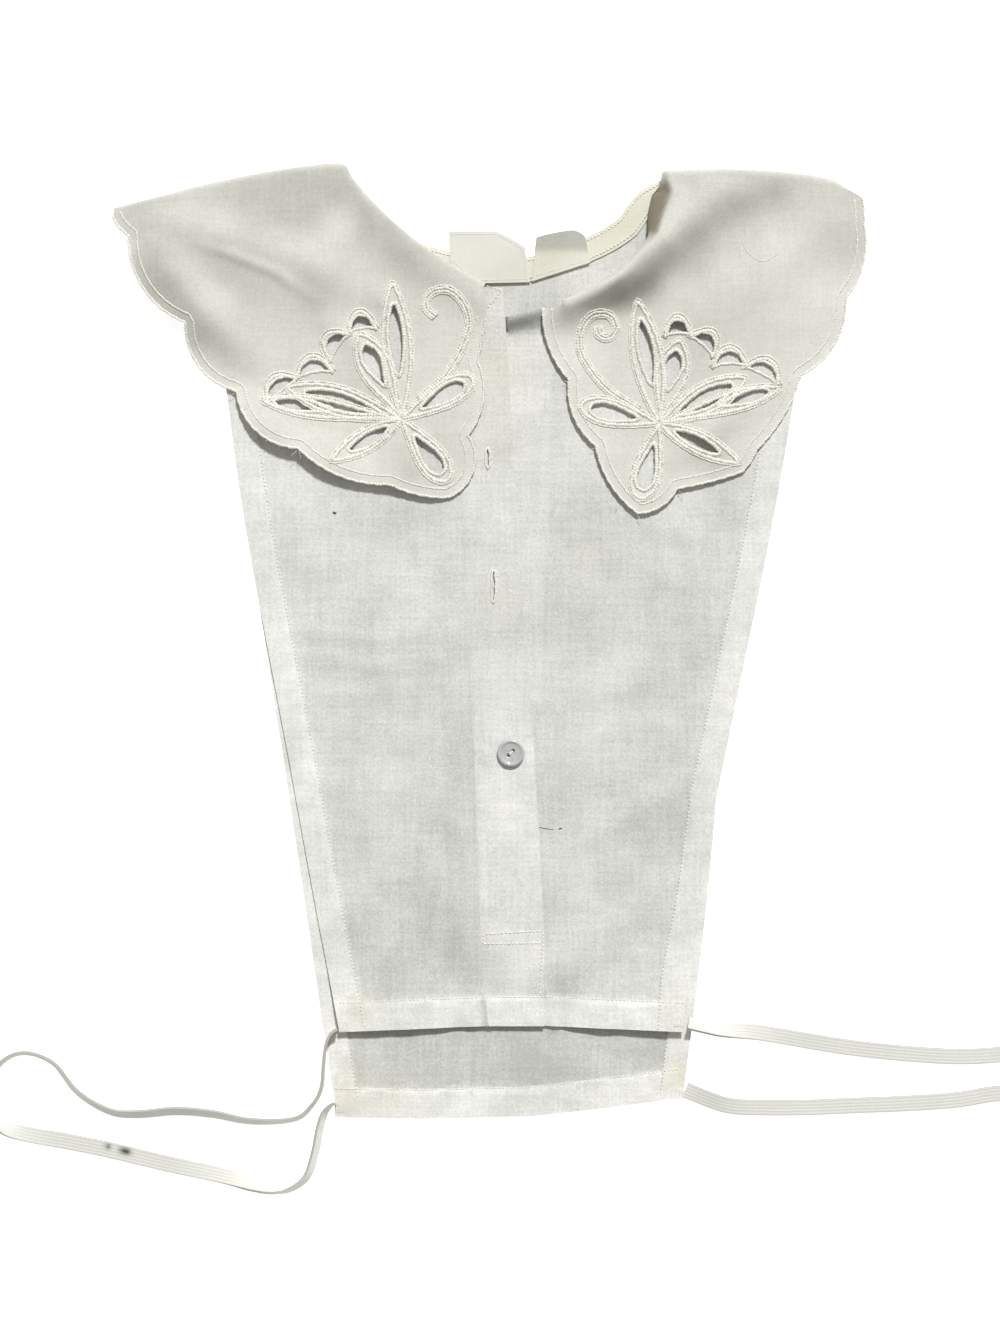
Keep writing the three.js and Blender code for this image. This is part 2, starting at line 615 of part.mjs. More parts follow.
// A flat band along a loop, rolled about its own line and resting on whichever edge is lowest.
function elastic(rows) {
  const { width, thickness, pieces } = ELASTIC;
  const path = new THREE.CatmullRomCurve3(rows.map(({ x, y }) => new THREE.Vector3(x, y, 0)));
  const roll = new THREE.CatmullRomCurve3(rows.map(({ turn, lift }) => new THREE.Vector3(turn, lift, 0)));
  return thickSheet(pieces, 1, (u, v, side) => {
    const centre = path.getPoint(u);
    const along = path.getTangent(u);
    const { x: turn, y: lift } = roll.getPoint(u);
    const angle = degToRad(clamp(turn, 0, 90));
    const left = new THREE.Vector3(-along.y, along.x, 0);
    const up = new THREE.Vector3(0, 0, 1);
    const across = left.clone().multiplyScalar(Math.cos(angle)).addScaledVector(up, Math.sin(angle));
    const face = up.clone().multiplyScalar(Math.cos(angle)).addScaledVector(left, -Math.sin(angle));
    const rise = (width * Math.sin(angle) + thickness * Math.cos(angle)) / 2 + Math.max(0, lift);
    return centre
      .addScaledVector(up, rise)
      .addScaledVector(across, (v - 0.5) * width)
      .addScaledVector(face, (side - 0.5) * thickness);
  });
}

const cloth = new THREE.MeshStandardMaterial({ color: 0xe2e3dd, roughness: 0.9, metalness: 0 });
const tape = new THREE.MeshStandardMaterial({ color: 0xeae9dc, roughness: 0.9, metalness: 0 });
const careTape = new THREE.MeshStandardMaterial({ color: 0xbababa, roughness: 0.85, metalness: 0 });
const pearl = new THREE.MeshStandardMaterial({ color: 0xb7b6b4, roughness: 0.25, metalness: 0 });
const rubberWeave = new THREE.MeshStandardMaterial({ color: 0xe6e6e0, roughness: 0.8, metalness: 0 });

const falseCollar = new THREE.Group();
falseCollar.name = "false_collar";
falseCollar.add(
  meshOf("back_panel", bib([...BACK_SIDES, ...NECKLINE], backLow), cloth),
  meshOf("front_left", bib(FRONT_LEFT_EDGE, frontLeftLow, RAMP_LINES, placketEdge), cloth),
  meshOf("front_right", bib(FRONT_RIGHT_EDGE, frontLow), cloth),
  meshOf(
    "collar_left",
    collarHalf({
      scallops: FLAP_LEFT_SCALLOPS,
      shoulder: FLAP_LEFT_SHOULDER,
      neck: FLAP_LEFT_NECK,
      neckFirst: true,
      backHalf: [...BACK_HALF_LEFT, ...NECK_LEFT, ...FLAP_LEFT_SHOULDER],
      low: flapLeftLow,
      seat: flapLeftSeat,
      flower: FLOWER_LEFT,
    }),
    cloth,
  ),
  meshOf(
    "collar_right",
    collarHalf({
      scallops: FLAP_RIGHT_SCALLOPS,
      shoulder: FLAP_RIGHT_SHOULDER,
      neck: FLAP_RIGHT_NECK,
      neckFirst: false,
      backHalf: [...BACK_HALF_RIGHT, ...FLAP_RIGHT_SHOULDER, ...NECK_RIGHT],
      low: flapRightLow,
      seat: flapRightSeat,
      flower: FLOWER_RIGHT,
    }),
    cloth,
  ),
  meshOf("neck_binding", neckBinding(), tape),
  meshOf("neck_label", label(NECK_LABEL), tape),
  meshOf("care_label", label(CARE_LABEL), careTape),
  meshOf("button", button(), pearl),
  meshOf("elastic_left", elastic(LOOP_LEFT), rubberWeave),
  meshOf("elastic_right", elastic(LOOP_RIGHT), rubberWeave),
);

export default falseCollar;
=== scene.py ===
"""A false collar laid flat: woven bibs, a scalloped cutwork collar, a button and two elastic loops.

Lengths are worked in millimetres, in the frame's own axes, and turned to metres where a mesh is made.
"""

import math

import bpy
import numpy as np
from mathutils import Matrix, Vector
from mathutils.geometry import delaunay_2d_cdt
from mathutils.kdtree import KDTree


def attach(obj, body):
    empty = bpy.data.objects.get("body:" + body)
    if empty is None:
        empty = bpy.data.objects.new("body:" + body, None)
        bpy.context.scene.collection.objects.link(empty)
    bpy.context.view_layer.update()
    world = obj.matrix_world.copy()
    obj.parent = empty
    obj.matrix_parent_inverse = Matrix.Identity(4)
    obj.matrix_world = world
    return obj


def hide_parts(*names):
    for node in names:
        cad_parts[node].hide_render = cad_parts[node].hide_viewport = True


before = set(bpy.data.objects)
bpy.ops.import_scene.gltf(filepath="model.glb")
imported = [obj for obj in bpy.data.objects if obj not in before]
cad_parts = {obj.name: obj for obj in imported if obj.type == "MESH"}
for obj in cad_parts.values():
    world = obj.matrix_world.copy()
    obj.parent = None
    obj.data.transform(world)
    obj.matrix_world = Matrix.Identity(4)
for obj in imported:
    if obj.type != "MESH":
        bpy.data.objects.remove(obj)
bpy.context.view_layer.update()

MM = 0.001
LAYER = 1.3  # from one cloth solid's underside to the next
LAWN = 0.42  # thickness of the woven cloth with its finish

# Bibs: the shapes that the solids have, in the same values
BACK_DROP = (40.0, 72.0)
PLACKET_X, PLACKET_Y, PLACKET_SLOPE, PLACKET_WIDTH = 5.6, 158.9, 0.0575, 25.0
RAMP_WIDTH, RAMP_MARGIN = 10.0, 6.0
SIDE_SLOPE, LEFT_SIDE, RIGHT_SIDE, SIDE_Y = 0.16, -118.1, 137.0, 113.0
CENTRE_BACK, SEAM_GAP = 6.3, 0.3
FLAP_DROP = (4.0, 30.0)
SHOULDER_REACH, NECK_REACH = 3.0, 2.5

# How far apart the points of each cloth's mesh and outline lie
BIB_STEP, BIB_OUTLINE_STEP, FLAP_STEP, BINDING_STEP, LABEL_STEP = 3.0, 2.4, 1.6, 1.5, 1.2

# Sewing
STITCH_PITCH = 1.75
SIDE_HEM, BOTTOM_HEM, BACK_SIDE_HEM = 11.4, 13.0, 10.3
BINDING_WIDTH = 10.8
BUTTON_X, BUTTON_Y = 9.2, -50.2
ELASTIC_WIDTH, ELASTIC_THICK, ELASTIC_RIBS, ELASTIC_STEP = 7.0, 1.4, 5, 1.8

# Outlines run anticlockwise; the third value is how far the edge swells out on the way to the next row.
NECK_RIGHT = [(79, 208.6, 0), (67, 202, 0.5), (58.3, 190.4, -0.6), (42.8, 181.4, -0.6), (20.5, 173.5, -0.6)]
NECK_CENTRE = [(CENTRE_BACK, 171.5, -0.3)]
NECK_LEFT = [
    (-7.9, 172.9, -0.6), (-30.2, 178.4, -0.6), (-47.4, 187.6, 0.5), (-57.6, 200, 0), (-66.4, 211.4, 0),
]
NECKLINE = NECK_RIGHT + NECK_CENTRE + NECK_LEFT
BACK_LEFT_SIDE = [
    (-131, 199, 0), (-117.5, 105, 0.8), (-104.5, 20, 0), (-93, -53.5, 0), (-81.8, -128.6, 0),
    (-74.9, -176.8, 0), (-70, -206.9, 0), (-70, -214.1, 0),
]
BACK_HEM = [(-70, -214.1, 0), (-31.7, -214.8, 0), (16.9, -213.7, 0.5), (86.6, -205.1, 0)]
BACK_RIGHT_SIDE = [
    (86.6, -205.1, 0), (91.6, -166, 0.6), (101.7, -70.6, 0), (117.2, 5, 0.8), (137, 113, 0), (150, 203, 0),
]
FRONT_LEFT_SIDE = [
    (-131, 199, 0), (-117.5, 105, 0.8), (-104.5, 20, 0), (-90.5, -53.5, 0), (-77.2, -126.8, 0),
    (-67.7, -175.4, 0),
]
FRONT_LEFT_HEM = [(-67.7, -175.4, 0), (-2.5, -172.9, 0), (24.2, -172.9, 0)]
PLACKET_EDGE = [(24.2, -172.9, 0), (24.4, -136, 1), (12.6, 36.5, 0.5), (5.6, 158.9, 0)]
FRONT_LEFT_NECK = [(5.6, 158.9, 0), (-8, 158.4, -0.3), (-40, 163.5, -0.8), (-66, 183, 0), (-75, 207, 0)]
UNDERLAP = [(9, 145.6, 0), (-18.5, 148, 0), (-0.4, -172.6, 0), (23.6, -172.7, 0)]
FRONT_RIGHT_HEM = [(23.6, -172.7, 0), (86.6, -175.4, 0)]
FRONT_RIGHT_SIDE = [
    (86.6, -175.4, 0), (88.2, -152.9, 1), (101.2, -70.6, 0), (117.2, 5, 0.8), (137, 113, 0), (150, 203, 0),
]
FRONT_RIGHT_NECK = [
    (150, 203, 0), (89, 205, 0), (84, 190, -0.8), (66, 166, -0.8), (42, 153, -0.4), (23, 149.8, 0),
    (9, 145.6, 0),
]
FLAP_LEFT_SCALLOPS = [
    (-170.4, 191.4, 1), (-162.7, 181.9, 7.5), (-137, 142.7, 7), (-114.1, 111.9, 7), (-86.2, 86, 4.6),
    (-45.2, 69.8, 1.6), (-19.1, 64, 7.3), (-9.7, 92.3, 4.7), (-5.4, 125.6, 0), (-1.6, 144.5, 0),
    (-3.2, 158.2, 0),
]
FLAP_LEFT_NECK = [(-3.2, 158.2, -0.4), (-20.5, 168.3, -0.6), (-41.2, 182.9, -0.9), (-64.6, 207.5, 0)]
FLAP_LEFT_SHOULDER = [
    (-66.4, 211.7, 0.2), (-76.6, 211.3, 0.4), (-109.7, 206.2, 0.4), (-139.9, 199.2, 0), (-169.6, 191.6, 0),
]
FLAP_RIGHT_SCALLOPS = [
    (32.4, 150.4, 0), (23.2, 149, 3.3), (34.9, 117.1, 4.2), (47, 87.4, 3.5), (66, 57, 3), (83.9, 68.2, 0.7),
    (112.7, 75.5, 0.8), (119.5, 85.6, 2.6), (139.3, 118.7, 6), (160, 153.8, 3.9), (168.1, 187.3, 0.3),
    (167.4, 199, 0),
]
FLAP_RIGHT_SHOULDER = [(161.2, 202.4, 0.3), (141.8, 206.8, 0.3), (106, 209.1, 0), (80, 208.6, 0)]
FLAP_RIGHT_NECK = [(82.6, 200.6, 0.4), (75.6, 180.7, -0.8), (55.6, 160.8, -0.5), (32.4, 150.4, -0.4)]
NECK_LABEL = [
    (-18.7, 184.1, 0), (-18.2, 170.4, 0), (-8.2, 160.6, 0), (17.9, 161.2, 0), (15.5, 176.9, 0.4),
    (2.5, 184.1, 0),
]
CARE_LABEL = [(20.5, 181.2, 0), (18.7, 161.6, 0), (44.8, 170, 0), (42.5, 181.7, 0.5), (37.1, 184.6, 0.5)]
BACK_HALF_LEFT = [
    (-164, 187, 6), (-127, 135, 6), (-88, 93, 3), (-42, 82, 3), (CENTRE_BACK - SEAM_GAP / 2, 79, 0),
    (CENTRE_BACK - SEAM_GAP / 2, 171.5, -0.3),
]
BACK_HALF_RIGHT = [
    (CENTRE_BACK + SEAM_GAP / 2, 171.5, 0), (CENTRE_BACK + SEAM_GAP / 2, 79, 3), (60, 82, 3), (106, 93, 5),
    (137, 135, 5),
]

# Soft folds: each is a line of (x, y, height, half width)
FOLDS_LEFT = [
    [(-1.6, 152, 2.6, 9), (-22, 166, 3, 10), (-43, 182, 3.2, 10), (-66, 209, 2.6, 12)],
    [(-150, 184, 1.8, 12), (-118, 172, 3.2, 13), (-76, 157, 2.6, 13), (-50, 142, 0.6, 12)],
    [(-160, 172, 2.2, 9), (-150, 158, 2.4, 9), (-133, 140, 2.2, 9)],
]
FOLDS_RIGHT = [
    [
        (24, 146, 2.6, 8), (36, 152, 5, 9), (58, 163, 8, 10), (75, 180, 8.5, 11), (81, 200, 6.5, 12),
        (84, 207, 5, 14),
    ],
    [(66, 138, 1.2, 14), (96, 152, 2.6, 17), (128, 172, 3, 18), (152, 186, 2.4, 14)],
]

# Cutwork, in each flower's own frame, with the wing side towards +X: petals run from the heart to a tip
PETALS = [  # tip on the left flap, tip on the right flap, width, hole width, near, far, skew, blunt
    ((-8, 56.5), (-10, 55), 13, 5.6, 0.32, 0.84, 1.1, False),
    ((10, 38.5), (9, 37.5), 14, 7, 0.4, 0.86, 1.6, False),
    ((44, 23), (39, 20.5), 13, 7, 0.2, 0.84, 1.2, False),
    ((55.5, 20), (54.5, 16), 9, 4.2, 0.5, 0.9, 1.6, False),
    ((32.5, -11), (36, -18), 9.5, 4.2, 0.2, 0.74, 1, False),
    ((-13.5, -29), (-9, -34), 12.5, 7, 0.28, 0.86, 1.9, True),
    ((-32.5, 10.5), (-35.5, 8), 11.5, 6.4, 0.28, 0.86, 1.8, True),
]
WING_CUTS = [  # from x, from y, to x, to y, width, bend away from the heart
    (3, 39.6, 13.6, 40, 4.6, 3.6), (14.6, 39, 24, 30.6, 4.4, 3.4), (24.6, 26, 38.6, 26.4, 4.4, 3.6),
    (39.6, 25.6, 53, 18.6, 4.2, 2.8),
]
CURL = [
    (-9, 6), (-24, 16), (-34.5, 30), (-35.5, 40), (-30.5, 48), (-23, 48.6), (-19.5, 43.5), (-22.5, 38.5),
    (-27, 39.5), (-27.5, 43.5),
]
FLOWER_LEFT = {"flap": 0, "x": -39.8, "y": 99.5, "side": -1, "turn": -12, "scale": 1.08, "curl": 8}
FLOWER_RIGHT = {"flap": 1, "x": 75.8, "y": 97.7, "side": 1, "turn": 0, "scale": 1, "curl": 10}

# Elastic loops: x, y, roll of the band in degrees and lift over a hem.
# At a roll of 0 the band lies flat, at 90 it stands on its edge, and past that it leans outwards.
LOOP_LEFT = [
    (-68.9, -174, 90, 1.3), (-71.6, -176, 90, 1.3), (-74, -181.7, 90, 1.3), (-74.9, -191.2, 88, 0.8),
    (-75.8, -200.6, 84, 0.1), (-80, -208.3, 80, 0), (-88, -214.6, 74, 0), (-107.3, -215.5, 66, 0),
    (-124.4, -212.3, 60, 0), (-141.1, -210.9, 58, 0), (-158.2, -212.3, 60, 0), (-171.2, -211, 64, 0),
    (-185.6, -202.4, 70, 0), (-196.4, -189.4, 74, 0), (-209.9, -184.9, 78, 0), (-220.7, -190.3, 82, 0),
    (-225.6, -203, 80, 0), (-220.7, -216.4, 50, 0), (-210, -221.2, 14, 0), (-190, -225, 0, 0),
    (-172.6, -228.5, 0, 0), (-143.8, -235.3, 0, 0), (-118.1, -240.7, 24, 0), (-106.2, -244.7, 60, 0),
    (-97.9, -247.3, 90, 0), (-90.7, -246.5, 106, 0), (-82.5, -240.5, 112, 0), (-78.5, -228.5, 112, 0),
    (-76.7, -219, 112, 0), (-74.6, -211.9, 108, 0), (-71.2, -208, 98, 0.4), (-69.4, -207.4, 92, 1),
]
LOOP_RIGHT = [
    (88.9, -171.5, 48, 1.4), (97.4, -173.4, 46, 1), (104.2, -174.6, 38, 0.2), (118.1, -175.6, 16, 0),
    (129.8, -177.4, 4, 0), (146.9, -180.4, 0, 0), (164, -183, 0, 0), (187, -185.4, 0, 0),
    (209.9, -186.7, 0, 0), (229.3, -185.8, 0, 0), (250, -183, 8, 0), (266, -181.5, 40, 0),
    (277, -184.8, 80, 0), (281.6, -193, 90, 0), (278, -201.6, 80, 0), (267, -205.6, 40, 0),
    (250, -205, 8, 0), (229.3, -203.3, 0, 0), (209.9, -206.2, 0, 0), (187, -207.8, 0, 0),
    (164, -208.7, 0, 0), (141.1, -209.6, 0, 0), (118.1, -209.6, 0, 0), (106.9, -208.7, 6, 0),
    (97.4, -205.6, 10, 0), (87.6, -201.6, 4, 0),
]


def smooth(value, low, high):
    """A soft step from 0 at low to 1 at high."""
    t = np.clip((value - low) / (high - low), 0, 1)
    return t * t * (3 - 2 * t)


# Paths and outlines


def arc_height(t, chord, bulge):
    """Height above its chord, at a share t of the way, of an arc with that greatest height."""
    if not bulge:
        return np.zeros_like(t)
    radius = (chord * chord / 4 + bulge * bulge) / (2 * abs(bulge))
    across = (t - 0.5) * chord
    return math.copysign(1, bulge) * (np.sqrt(np.maximum(0, radius**2 - across**2)) - radius + abs(bulge))


def edge(rows, step=1.0, closed=False):
    """Points about a step apart along rows of (x, y, bulge)."""
    points = []
    ends = rows[1:] + rows[:1] if closed else rows[1:]
    for (ax, ay, bulge), (bx, by, _) in zip(rows, ends):
        a, along = np.array([ax, ay], float), np.array([bx - ax, by - ay], float)
        chord = np.hypot(*along)
        t = np.linspace(0, 1, max(2, math.ceil(chord / step) + 1))[:-1]
        out = np.array([along[1], -along[0]]) / chord
        points.append(a + t[:, None] * along + arc_height(t, chord, bulge)[:, None] * out)
    if not closed:
        points.append(np.array([rows[-1][:2]], float))
    return np.concatenate(points)


def right_normals(path, closed=False):
    """Unit directions to the right of a path."""
    if closed:
        along = np.roll(path, -1, 0) - np.roll(path, 1, 0)
    else:
        along = np.gradient(path, axis=0)
    along /= np.linalg.norm(along, axis=1)[:, None] + 1e-12
    return np.stack([along[:, 1], -along[:, 0]], 1)


def resampled(path, step, closed=False):
    """The same path with points an even step apart."""
    if closed:
        path = np.concatenate([path, path[:1]])
    lengths = np.concatenate([[0], np.cumsum(np.linalg.norm(np.diff(path, axis=0), axis=1))])
    count = max(3, round(lengths[-1] / step))
    at = np.linspace(0, lengths[-1], count + 1)
    if closed:
        at = at[:-1]
    return np.stack([np.interp(at, lengths, path[:, k]) for k in range(path.shape[1])], 1)


def spline(rows, per_span=6):
    """Catmull-Rom through rows of any width."""
    p = np.array(rows, float)
    p = np.concatenate([[2 * p[0] - p[1]], p, [2 * p[-1] - p[-2]]])
    t = np.linspace(0, 1, per_span, endpoint=False)[:, None]
    parts = []
    for a, b, c, d in zip(p, p[1:], p[2:], p[3:]):
        parts.append(
            0.5 * (2 * b + (c - a) * t + (2 * a - 5 * b + 4 * c - d) * t**2 + (3 * b - a - 3 * c + d) * t**3)
        )
    return np.concatenate(parts + [p[-2:-1]])


def nearest_on(path, points):
    """Distance from each point to a path, and the nearest place on it."""
    best = np.full(len(points), np.inf)
    place = np.zeros((len(points), 2))
    for a, b in zip(path, path[1:]):
        along = b - a
        t = np.clip((points - a) @ along / (along @ along + 1e-12), 0, 1)
        near = a + t[:, None] * along
        away = np.linalg.norm(points - near, axis=1)
        closer = away < best
        best = np.where(closer, away, best)
        place[closer] = near[closer]
    return best, place


def inside(loop, points):
    """Even-odd test of points against a closed loop."""
    x, y = points[:, 0], points[:, 1]
    result = np.zeros(len(points), bool)
    for (ax, ay), (bx, by) in zip(loop, np.roll(loop, -1, 0)):
        crosses = (ay > y) != (by > y)
        with np.errstate(divide="ignore", invalid="ignore"):
            result ^= crosses & (x < (bx - ax) * (y - ay) / (by - ay) + ax)
    return result


# Heights of the layers, as the solids have them


def fold_height(folds, x, y):
    """Height of soft folds, each a line of (x, y, height, half width)."""
    total = np.zeros_like(x)
    for line in folds:
        best = np.zeros_like(x)
        for (ax, ay, ah, aw), (bx, by, bh, bw) in zip(line, line[1:]):
            dx, dy = bx - ax, by - ay
            t = np.clip(((x - ax) * dx + (y - ay) * dy) / (dx * dx + dy * dy), 0, 1)
            away = np.hypot(x - ax - dx * t, y - ay - dy * t) / (aw + (bw - aw) * t)
            best = np.maximum(best, (ah + (bh - ah) * t) * np.exp(-away * away))
        total += best
    return total


def ripple(x, y, size, height):
    """Gentle irregular unevenness of cloth that has been handled, never below zero."""
    u, v = x / size, y / size
    waves = np.sin(1.7 * u + 1.3 * np.sin(0.9 * v)) + np.sin(1.1 * v - 0.8 * u + 2.1)
    waves += np.sin(2.3 * v + 1.9 * np.sin(0.7 * u + 0.4)) * 0.7
    return height * (waves / 5.4 + 0.5)


def placket_edge(y):
    """X of the placket's edge."""
    return PLACKET_X + (PLACKET_Y - y) * PLACKET_SLOPE


def climb(x, y, early=0.0):
    """How far, from 0 to 1, the left front has climbed onto the right one."""
    end = -PLACKET_WIDTH - RAMP_MARGIN
    return smooth(x - placket_edge(y) + early, end - RAMP_WIDTH, end)


def back_low(x, y):
    """Underside of the back bib, which lies on the collar's back half near the neck, at every x."""
    return LAYER * smooth(y, *BACK_DROP)


def front_low(x, y):
    """Underside of the front bibs, on the back bib."""
    return back_low(x, y) + LAYER


def front_left_low(x, y):
    """Underside of the left front, which climbs over the right one at the placket."""
    return front_low(x, y) + LAYER * climb(x, y)


def flap_left_seat(x, y):
    """What the left flap rests on: the bib, then the table past the bib's side."""
    outside = LEFT_SIDE - (y - SIDE_Y) * SIDE_SLOPE - x
    return front_low(x, y) + LAYER * (1 + climb(x, y, 24)) - 2 * LAYER * smooth(outside, *FLAP_DROP)


def flap_right_seat(x, y):
    """What the right flap rests on: the bib, then the table past the bib's side."""
    outside = x - RIGHT_SIDE - (y - SIDE_Y) * SIDE_SLOPE
    return front_low(x, y) + LAYER - 2 * LAYER * smooth(outside, *FLAP_DROP)


def flap_left_low(x, y):
    """Underside of the left flap with its folds."""
    return flap_left_seat(x, y) + fold_height(FOLDS_LEFT, x, y)


def flap_right_low(x, y):
    """Underside of the right flap with its folds."""
    return flap_right_seat(x, y) + fold_height(FOLDS_RIGHT, x, y)


# Meshes


def even_grid(low, high, spacing):
    """Points of even triangles that fill the rectangle between two corners."""
    xs = np.arange(low[0], high[0], spacing)
    ys = np.arange(low[1], high[1], spacing * math.sqrt(3) / 2)
    gx, gy = np.meshgrid(xs, ys)
    gx = gx + (np.arange(len(ys)) % 2)[:, None] * spacing / 2
    return np.stack([gx.ravel(), gy.ravel()], 1)


def in_cloth(loops, points):
    """Whether points lie in the first loop and in none of the others, which are its holes."""
    result = inside(loops[0], points)
    for hole in loops[1:]:
        result &= ~inside(hole, points)
    return result


def ring_faces(count, around, closed=False):
    """Faces of a skin over rings of points, with both ends capped where it isn't closed."""
    faces = []
    for i in range(count if closed else count - 1):
        j = (i + 1) % count
        for k in range(around):
            m = (k + 1) % around
            faces.append([i * around + k, i * around + m, j * around + m, j * around + k])
    if not closed:
        faces.append(list(range(around))[::-1])
        faces.append([(count - 1) * around + k for k in range(around)])
    return faces


def piece(name, vertices, faces, material, smooth_angle=40):
    """A mesh object from points in millimetres, riding on the only body."""
    mesh = bpy.data.meshes.new(name)
    mesh.from_pydata((np.asarray(vertices) * MM).tolist(), [], [[int(i) for i in face] for face in faces])
    mesh.update()
    mesh.shade_smooth()
    if smooth_angle:
        mesh.set_sharp_from_angle(angle=math.radians(smooth_angle))
    mesh.materials.append(material)
    made = bpy.data.objects.new(name, mesh)
    bpy.context.scene.collection.objects.link(made)
    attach(made, "root")
    return made


def add_attribute(made, name, values):
    """A number at each point, which the materials read by its name."""
    layer = made.data.attributes.new(name, "FLOAT", "POINT")
    layer.data.foreach_set("value", np.asarray(values, np.float32))


def triangulated(outline, holes, spacing, lines=()):
    """Points and triangles that fill an outline but for its holes, evenly spaced.

    A sewing line gets points close to both of its sides, so that the cloth can step there.
    """
    loops = [outline] + [resampled(hole, min(1.0, spacing * 0.6), closed=True) for hole in holes]
    seams = []
    for line in lines:
        path = resampled(line, spacing * 0.7)
        sides = right_normals(path) * 0.5
        both = np.concatenate([path - sides, path + sides])
        clear = nearest_on(np.concatenate([loops[0], loops[0][:1]]), both)[0] > 0.3
        seams.append(both[inside(loops[0], both) & clear])
    rim = np.concatenate(loops + seams)
    tree = KDTree(len(rim))
    for i, (x, y) in enumerate(rim):
        tree.insert((x, y, 0), i)
    tree.balance()
    grid = even_grid(outline.min(0), outline.max(0), spacing)
    grid = grid[in_cloth(loops, grid)]
    grid = np.array([p for p in grid if tree.find((p[0], p[1], 0))[2] > spacing * 0.55])
    edges = []
    start = 0
    for loop in loops:
        n = len(loop)
        edges += [(start + i, start + (i + 1) % n) for i in range(n)]
        start += n
    flat = [Vector(p) for p in np.concatenate([rim, grid])]
    verts, _, faces, *_ = delaunay_2d_cdt(flat, edges, [], 0, 1e-6, False)
    points = np.array([tuple(v) for v in verts])
    tris = np.array([f for f in faces if len(f) == 3])
    tris = tris[in_cloth(loops, points[tris].mean(1))]
    a, b, c = (points[tris[:, k]] for k in range(3))
    turned = np.cross(b - a, c - a) < 0
    tris[turned] = tris[turned][:, ::-1]
    used, tris = np.unique(tris, return_inverse=True)
    return points[used], tris.reshape(-1, 3)


def shell(top, tris, thickness):
    """A closed thin sheet under the points of its upper face."""
    a, b, c = (top[tris[:, k]] for k in range(3))
    face_normals = np.cross(b - a, c - a)
    normals = np.zeros_like(top)
    for k in range(3):
        np.add.at(normals, tris[:, k], face_normals)
    normals /= np.linalg.norm(normals, axis=1)[:, None] + 1e-12
    under = top - normals * thickness
    edges = np.concatenate([tris[:, [0, 1]], tris[:, [1, 2]], tris[:, [2, 0]]])
    key = np.sort(edges, 1)
    _, index, counts = np.unique(key, axis=0, return_index=True, return_counts=True)
    rim = edges[index[counts == 1]]
    n = len(top)
    walls = np.concatenate([rim[:, [1, 0]], rim + n], 1)
    faces = tris.tolist() + (tris[:, ::-1] + n).tolist() + walls.tolist()
    return np.concatenate([top, under]), faces


def joined(parts):
    """Several (vertices, faces) as one."""
    vertices, faces, start = [], [], 0
    for v, f in parts:
        vertices.append(v)
        faces += [[i + start for i in face] for face in f]
        start += len(v)
    return np.concatenate(vertices), faces


# Cloth


FRONT_CREASES = [  # soft creases of both bibs: lines of (x, y, height, half width)
    [(-88, 6, 0.5, 3), (-55, 1, 0.6, 2.6), (-14, 4, 0.3, 3)],
    [(-86, -7, 0.4, 3), (-52, -11, 0.55, 2.4), (-18, -8, 0.3, 3)],
    [(-80, -22, 0.3, 3), (-48, -25, 0.45, 2.6), (-20, -20, 0.25, 3)],
    [(88, -62, 0.9, 5), (62, -78, 1.0, 5), (34, -96, 0.5, 5)],
    [(86, -40, 0.4, 5), (58, -36, 0.6, 6), (30, -52, 0.4, 5)],
    [(82, -108, 0.6, 7), (56, -126, 0.8, 8), (34, -158, 0.4, 8)],
    [(-66, -120, 0.7, 8), (-44, -140, 0.9, 8), (-14, -164, 0.4, 7)],
    [(-86, -70, 0.4, 6), (-52, -62, 0.5, 8), (-14, -84, 0.4, 8)],
    [(74, 30, 0.5, 7), (50, 14, 0.6, 8), (30, -14, 0.3, 7)],
    [(-100, 40, 0.4, 6), (-70, 34, 0.5, 7), (-34, 44, 0.3, 7)],
    [(-50, -196, 0.4, 6), (0, -190, 0.5, 7), (60, -194, 0.4, 6)],
    [(-2.4, -160, 0.9, 1.7), (-1.2, -172.5, 1.1, 1.8)], [(26.6, -158, 1.2, 3), (29, -172.5, 1.8, 3.2)],
    [(84, -12, 0.5, 6), (60, -22, 0.7, 7), (34, -20, 0.3, 6)], [(-30, -44, 0.4, 7), (-60, -40, 0.6, 8)],
]
FLAP_LEFT_LIFT = [
    [(-152, 192, 1, 8), (-120, 183, 2.4, 9), (-78, 170, 2.6, 9), (-50, 155, 1.4, 9)],
    [(-154, 184, 1, 8), (-143, 165, 5.2, 8.4), (-127, 147, 5.6, 8.6), (-110, 128, 2, 9)],
    [(-132, 178, 0.2, 2.4), (-116, 173, 0.9, 2.3), (-96, 165, 0.9, 2.4), (-78, 153, 0.3, 3)],
    [(-72, 142, 0.8, 6), (-60, 134, 1.6, 6), (-56, 120, 0.6, 7)],
    [(-118, 112, 1, 8), (-102, 95, 4, 11), (-76, 80, 5, 12), (-50, 70, 2, 10)],
]
FLAP_RIGHT_LIFT = [
    [
        (36, 151, 2, 6), (48, 157, 5.2, 6.5), (64, 165, 7.4, 7.5), (86, 186, 6.6, 9), (104, 200, 5, 10),
        (126, 208, 2.8, 10),
    ],
    [(84, 82, 1, 6), (97, 93, 2.6, 7), (112, 106, 1.4, 7)],
    [(34, 149.5, 0.5, 1.6), (48, 154.5, 0.9, 1.7), (60, 163, 0.9, 1.8), (70, 175, 0.5, 2)],
    [(28, 134, 1.2, 7), (42, 98, 1, 8), (64, 60, 0.9, 8), (96, 72, 0.8, 8), (120, 88, 0.5, 7)],
]
WRAP, LEG = 10.0, 4.0  # cloth in the turn, and what runs on under the flap
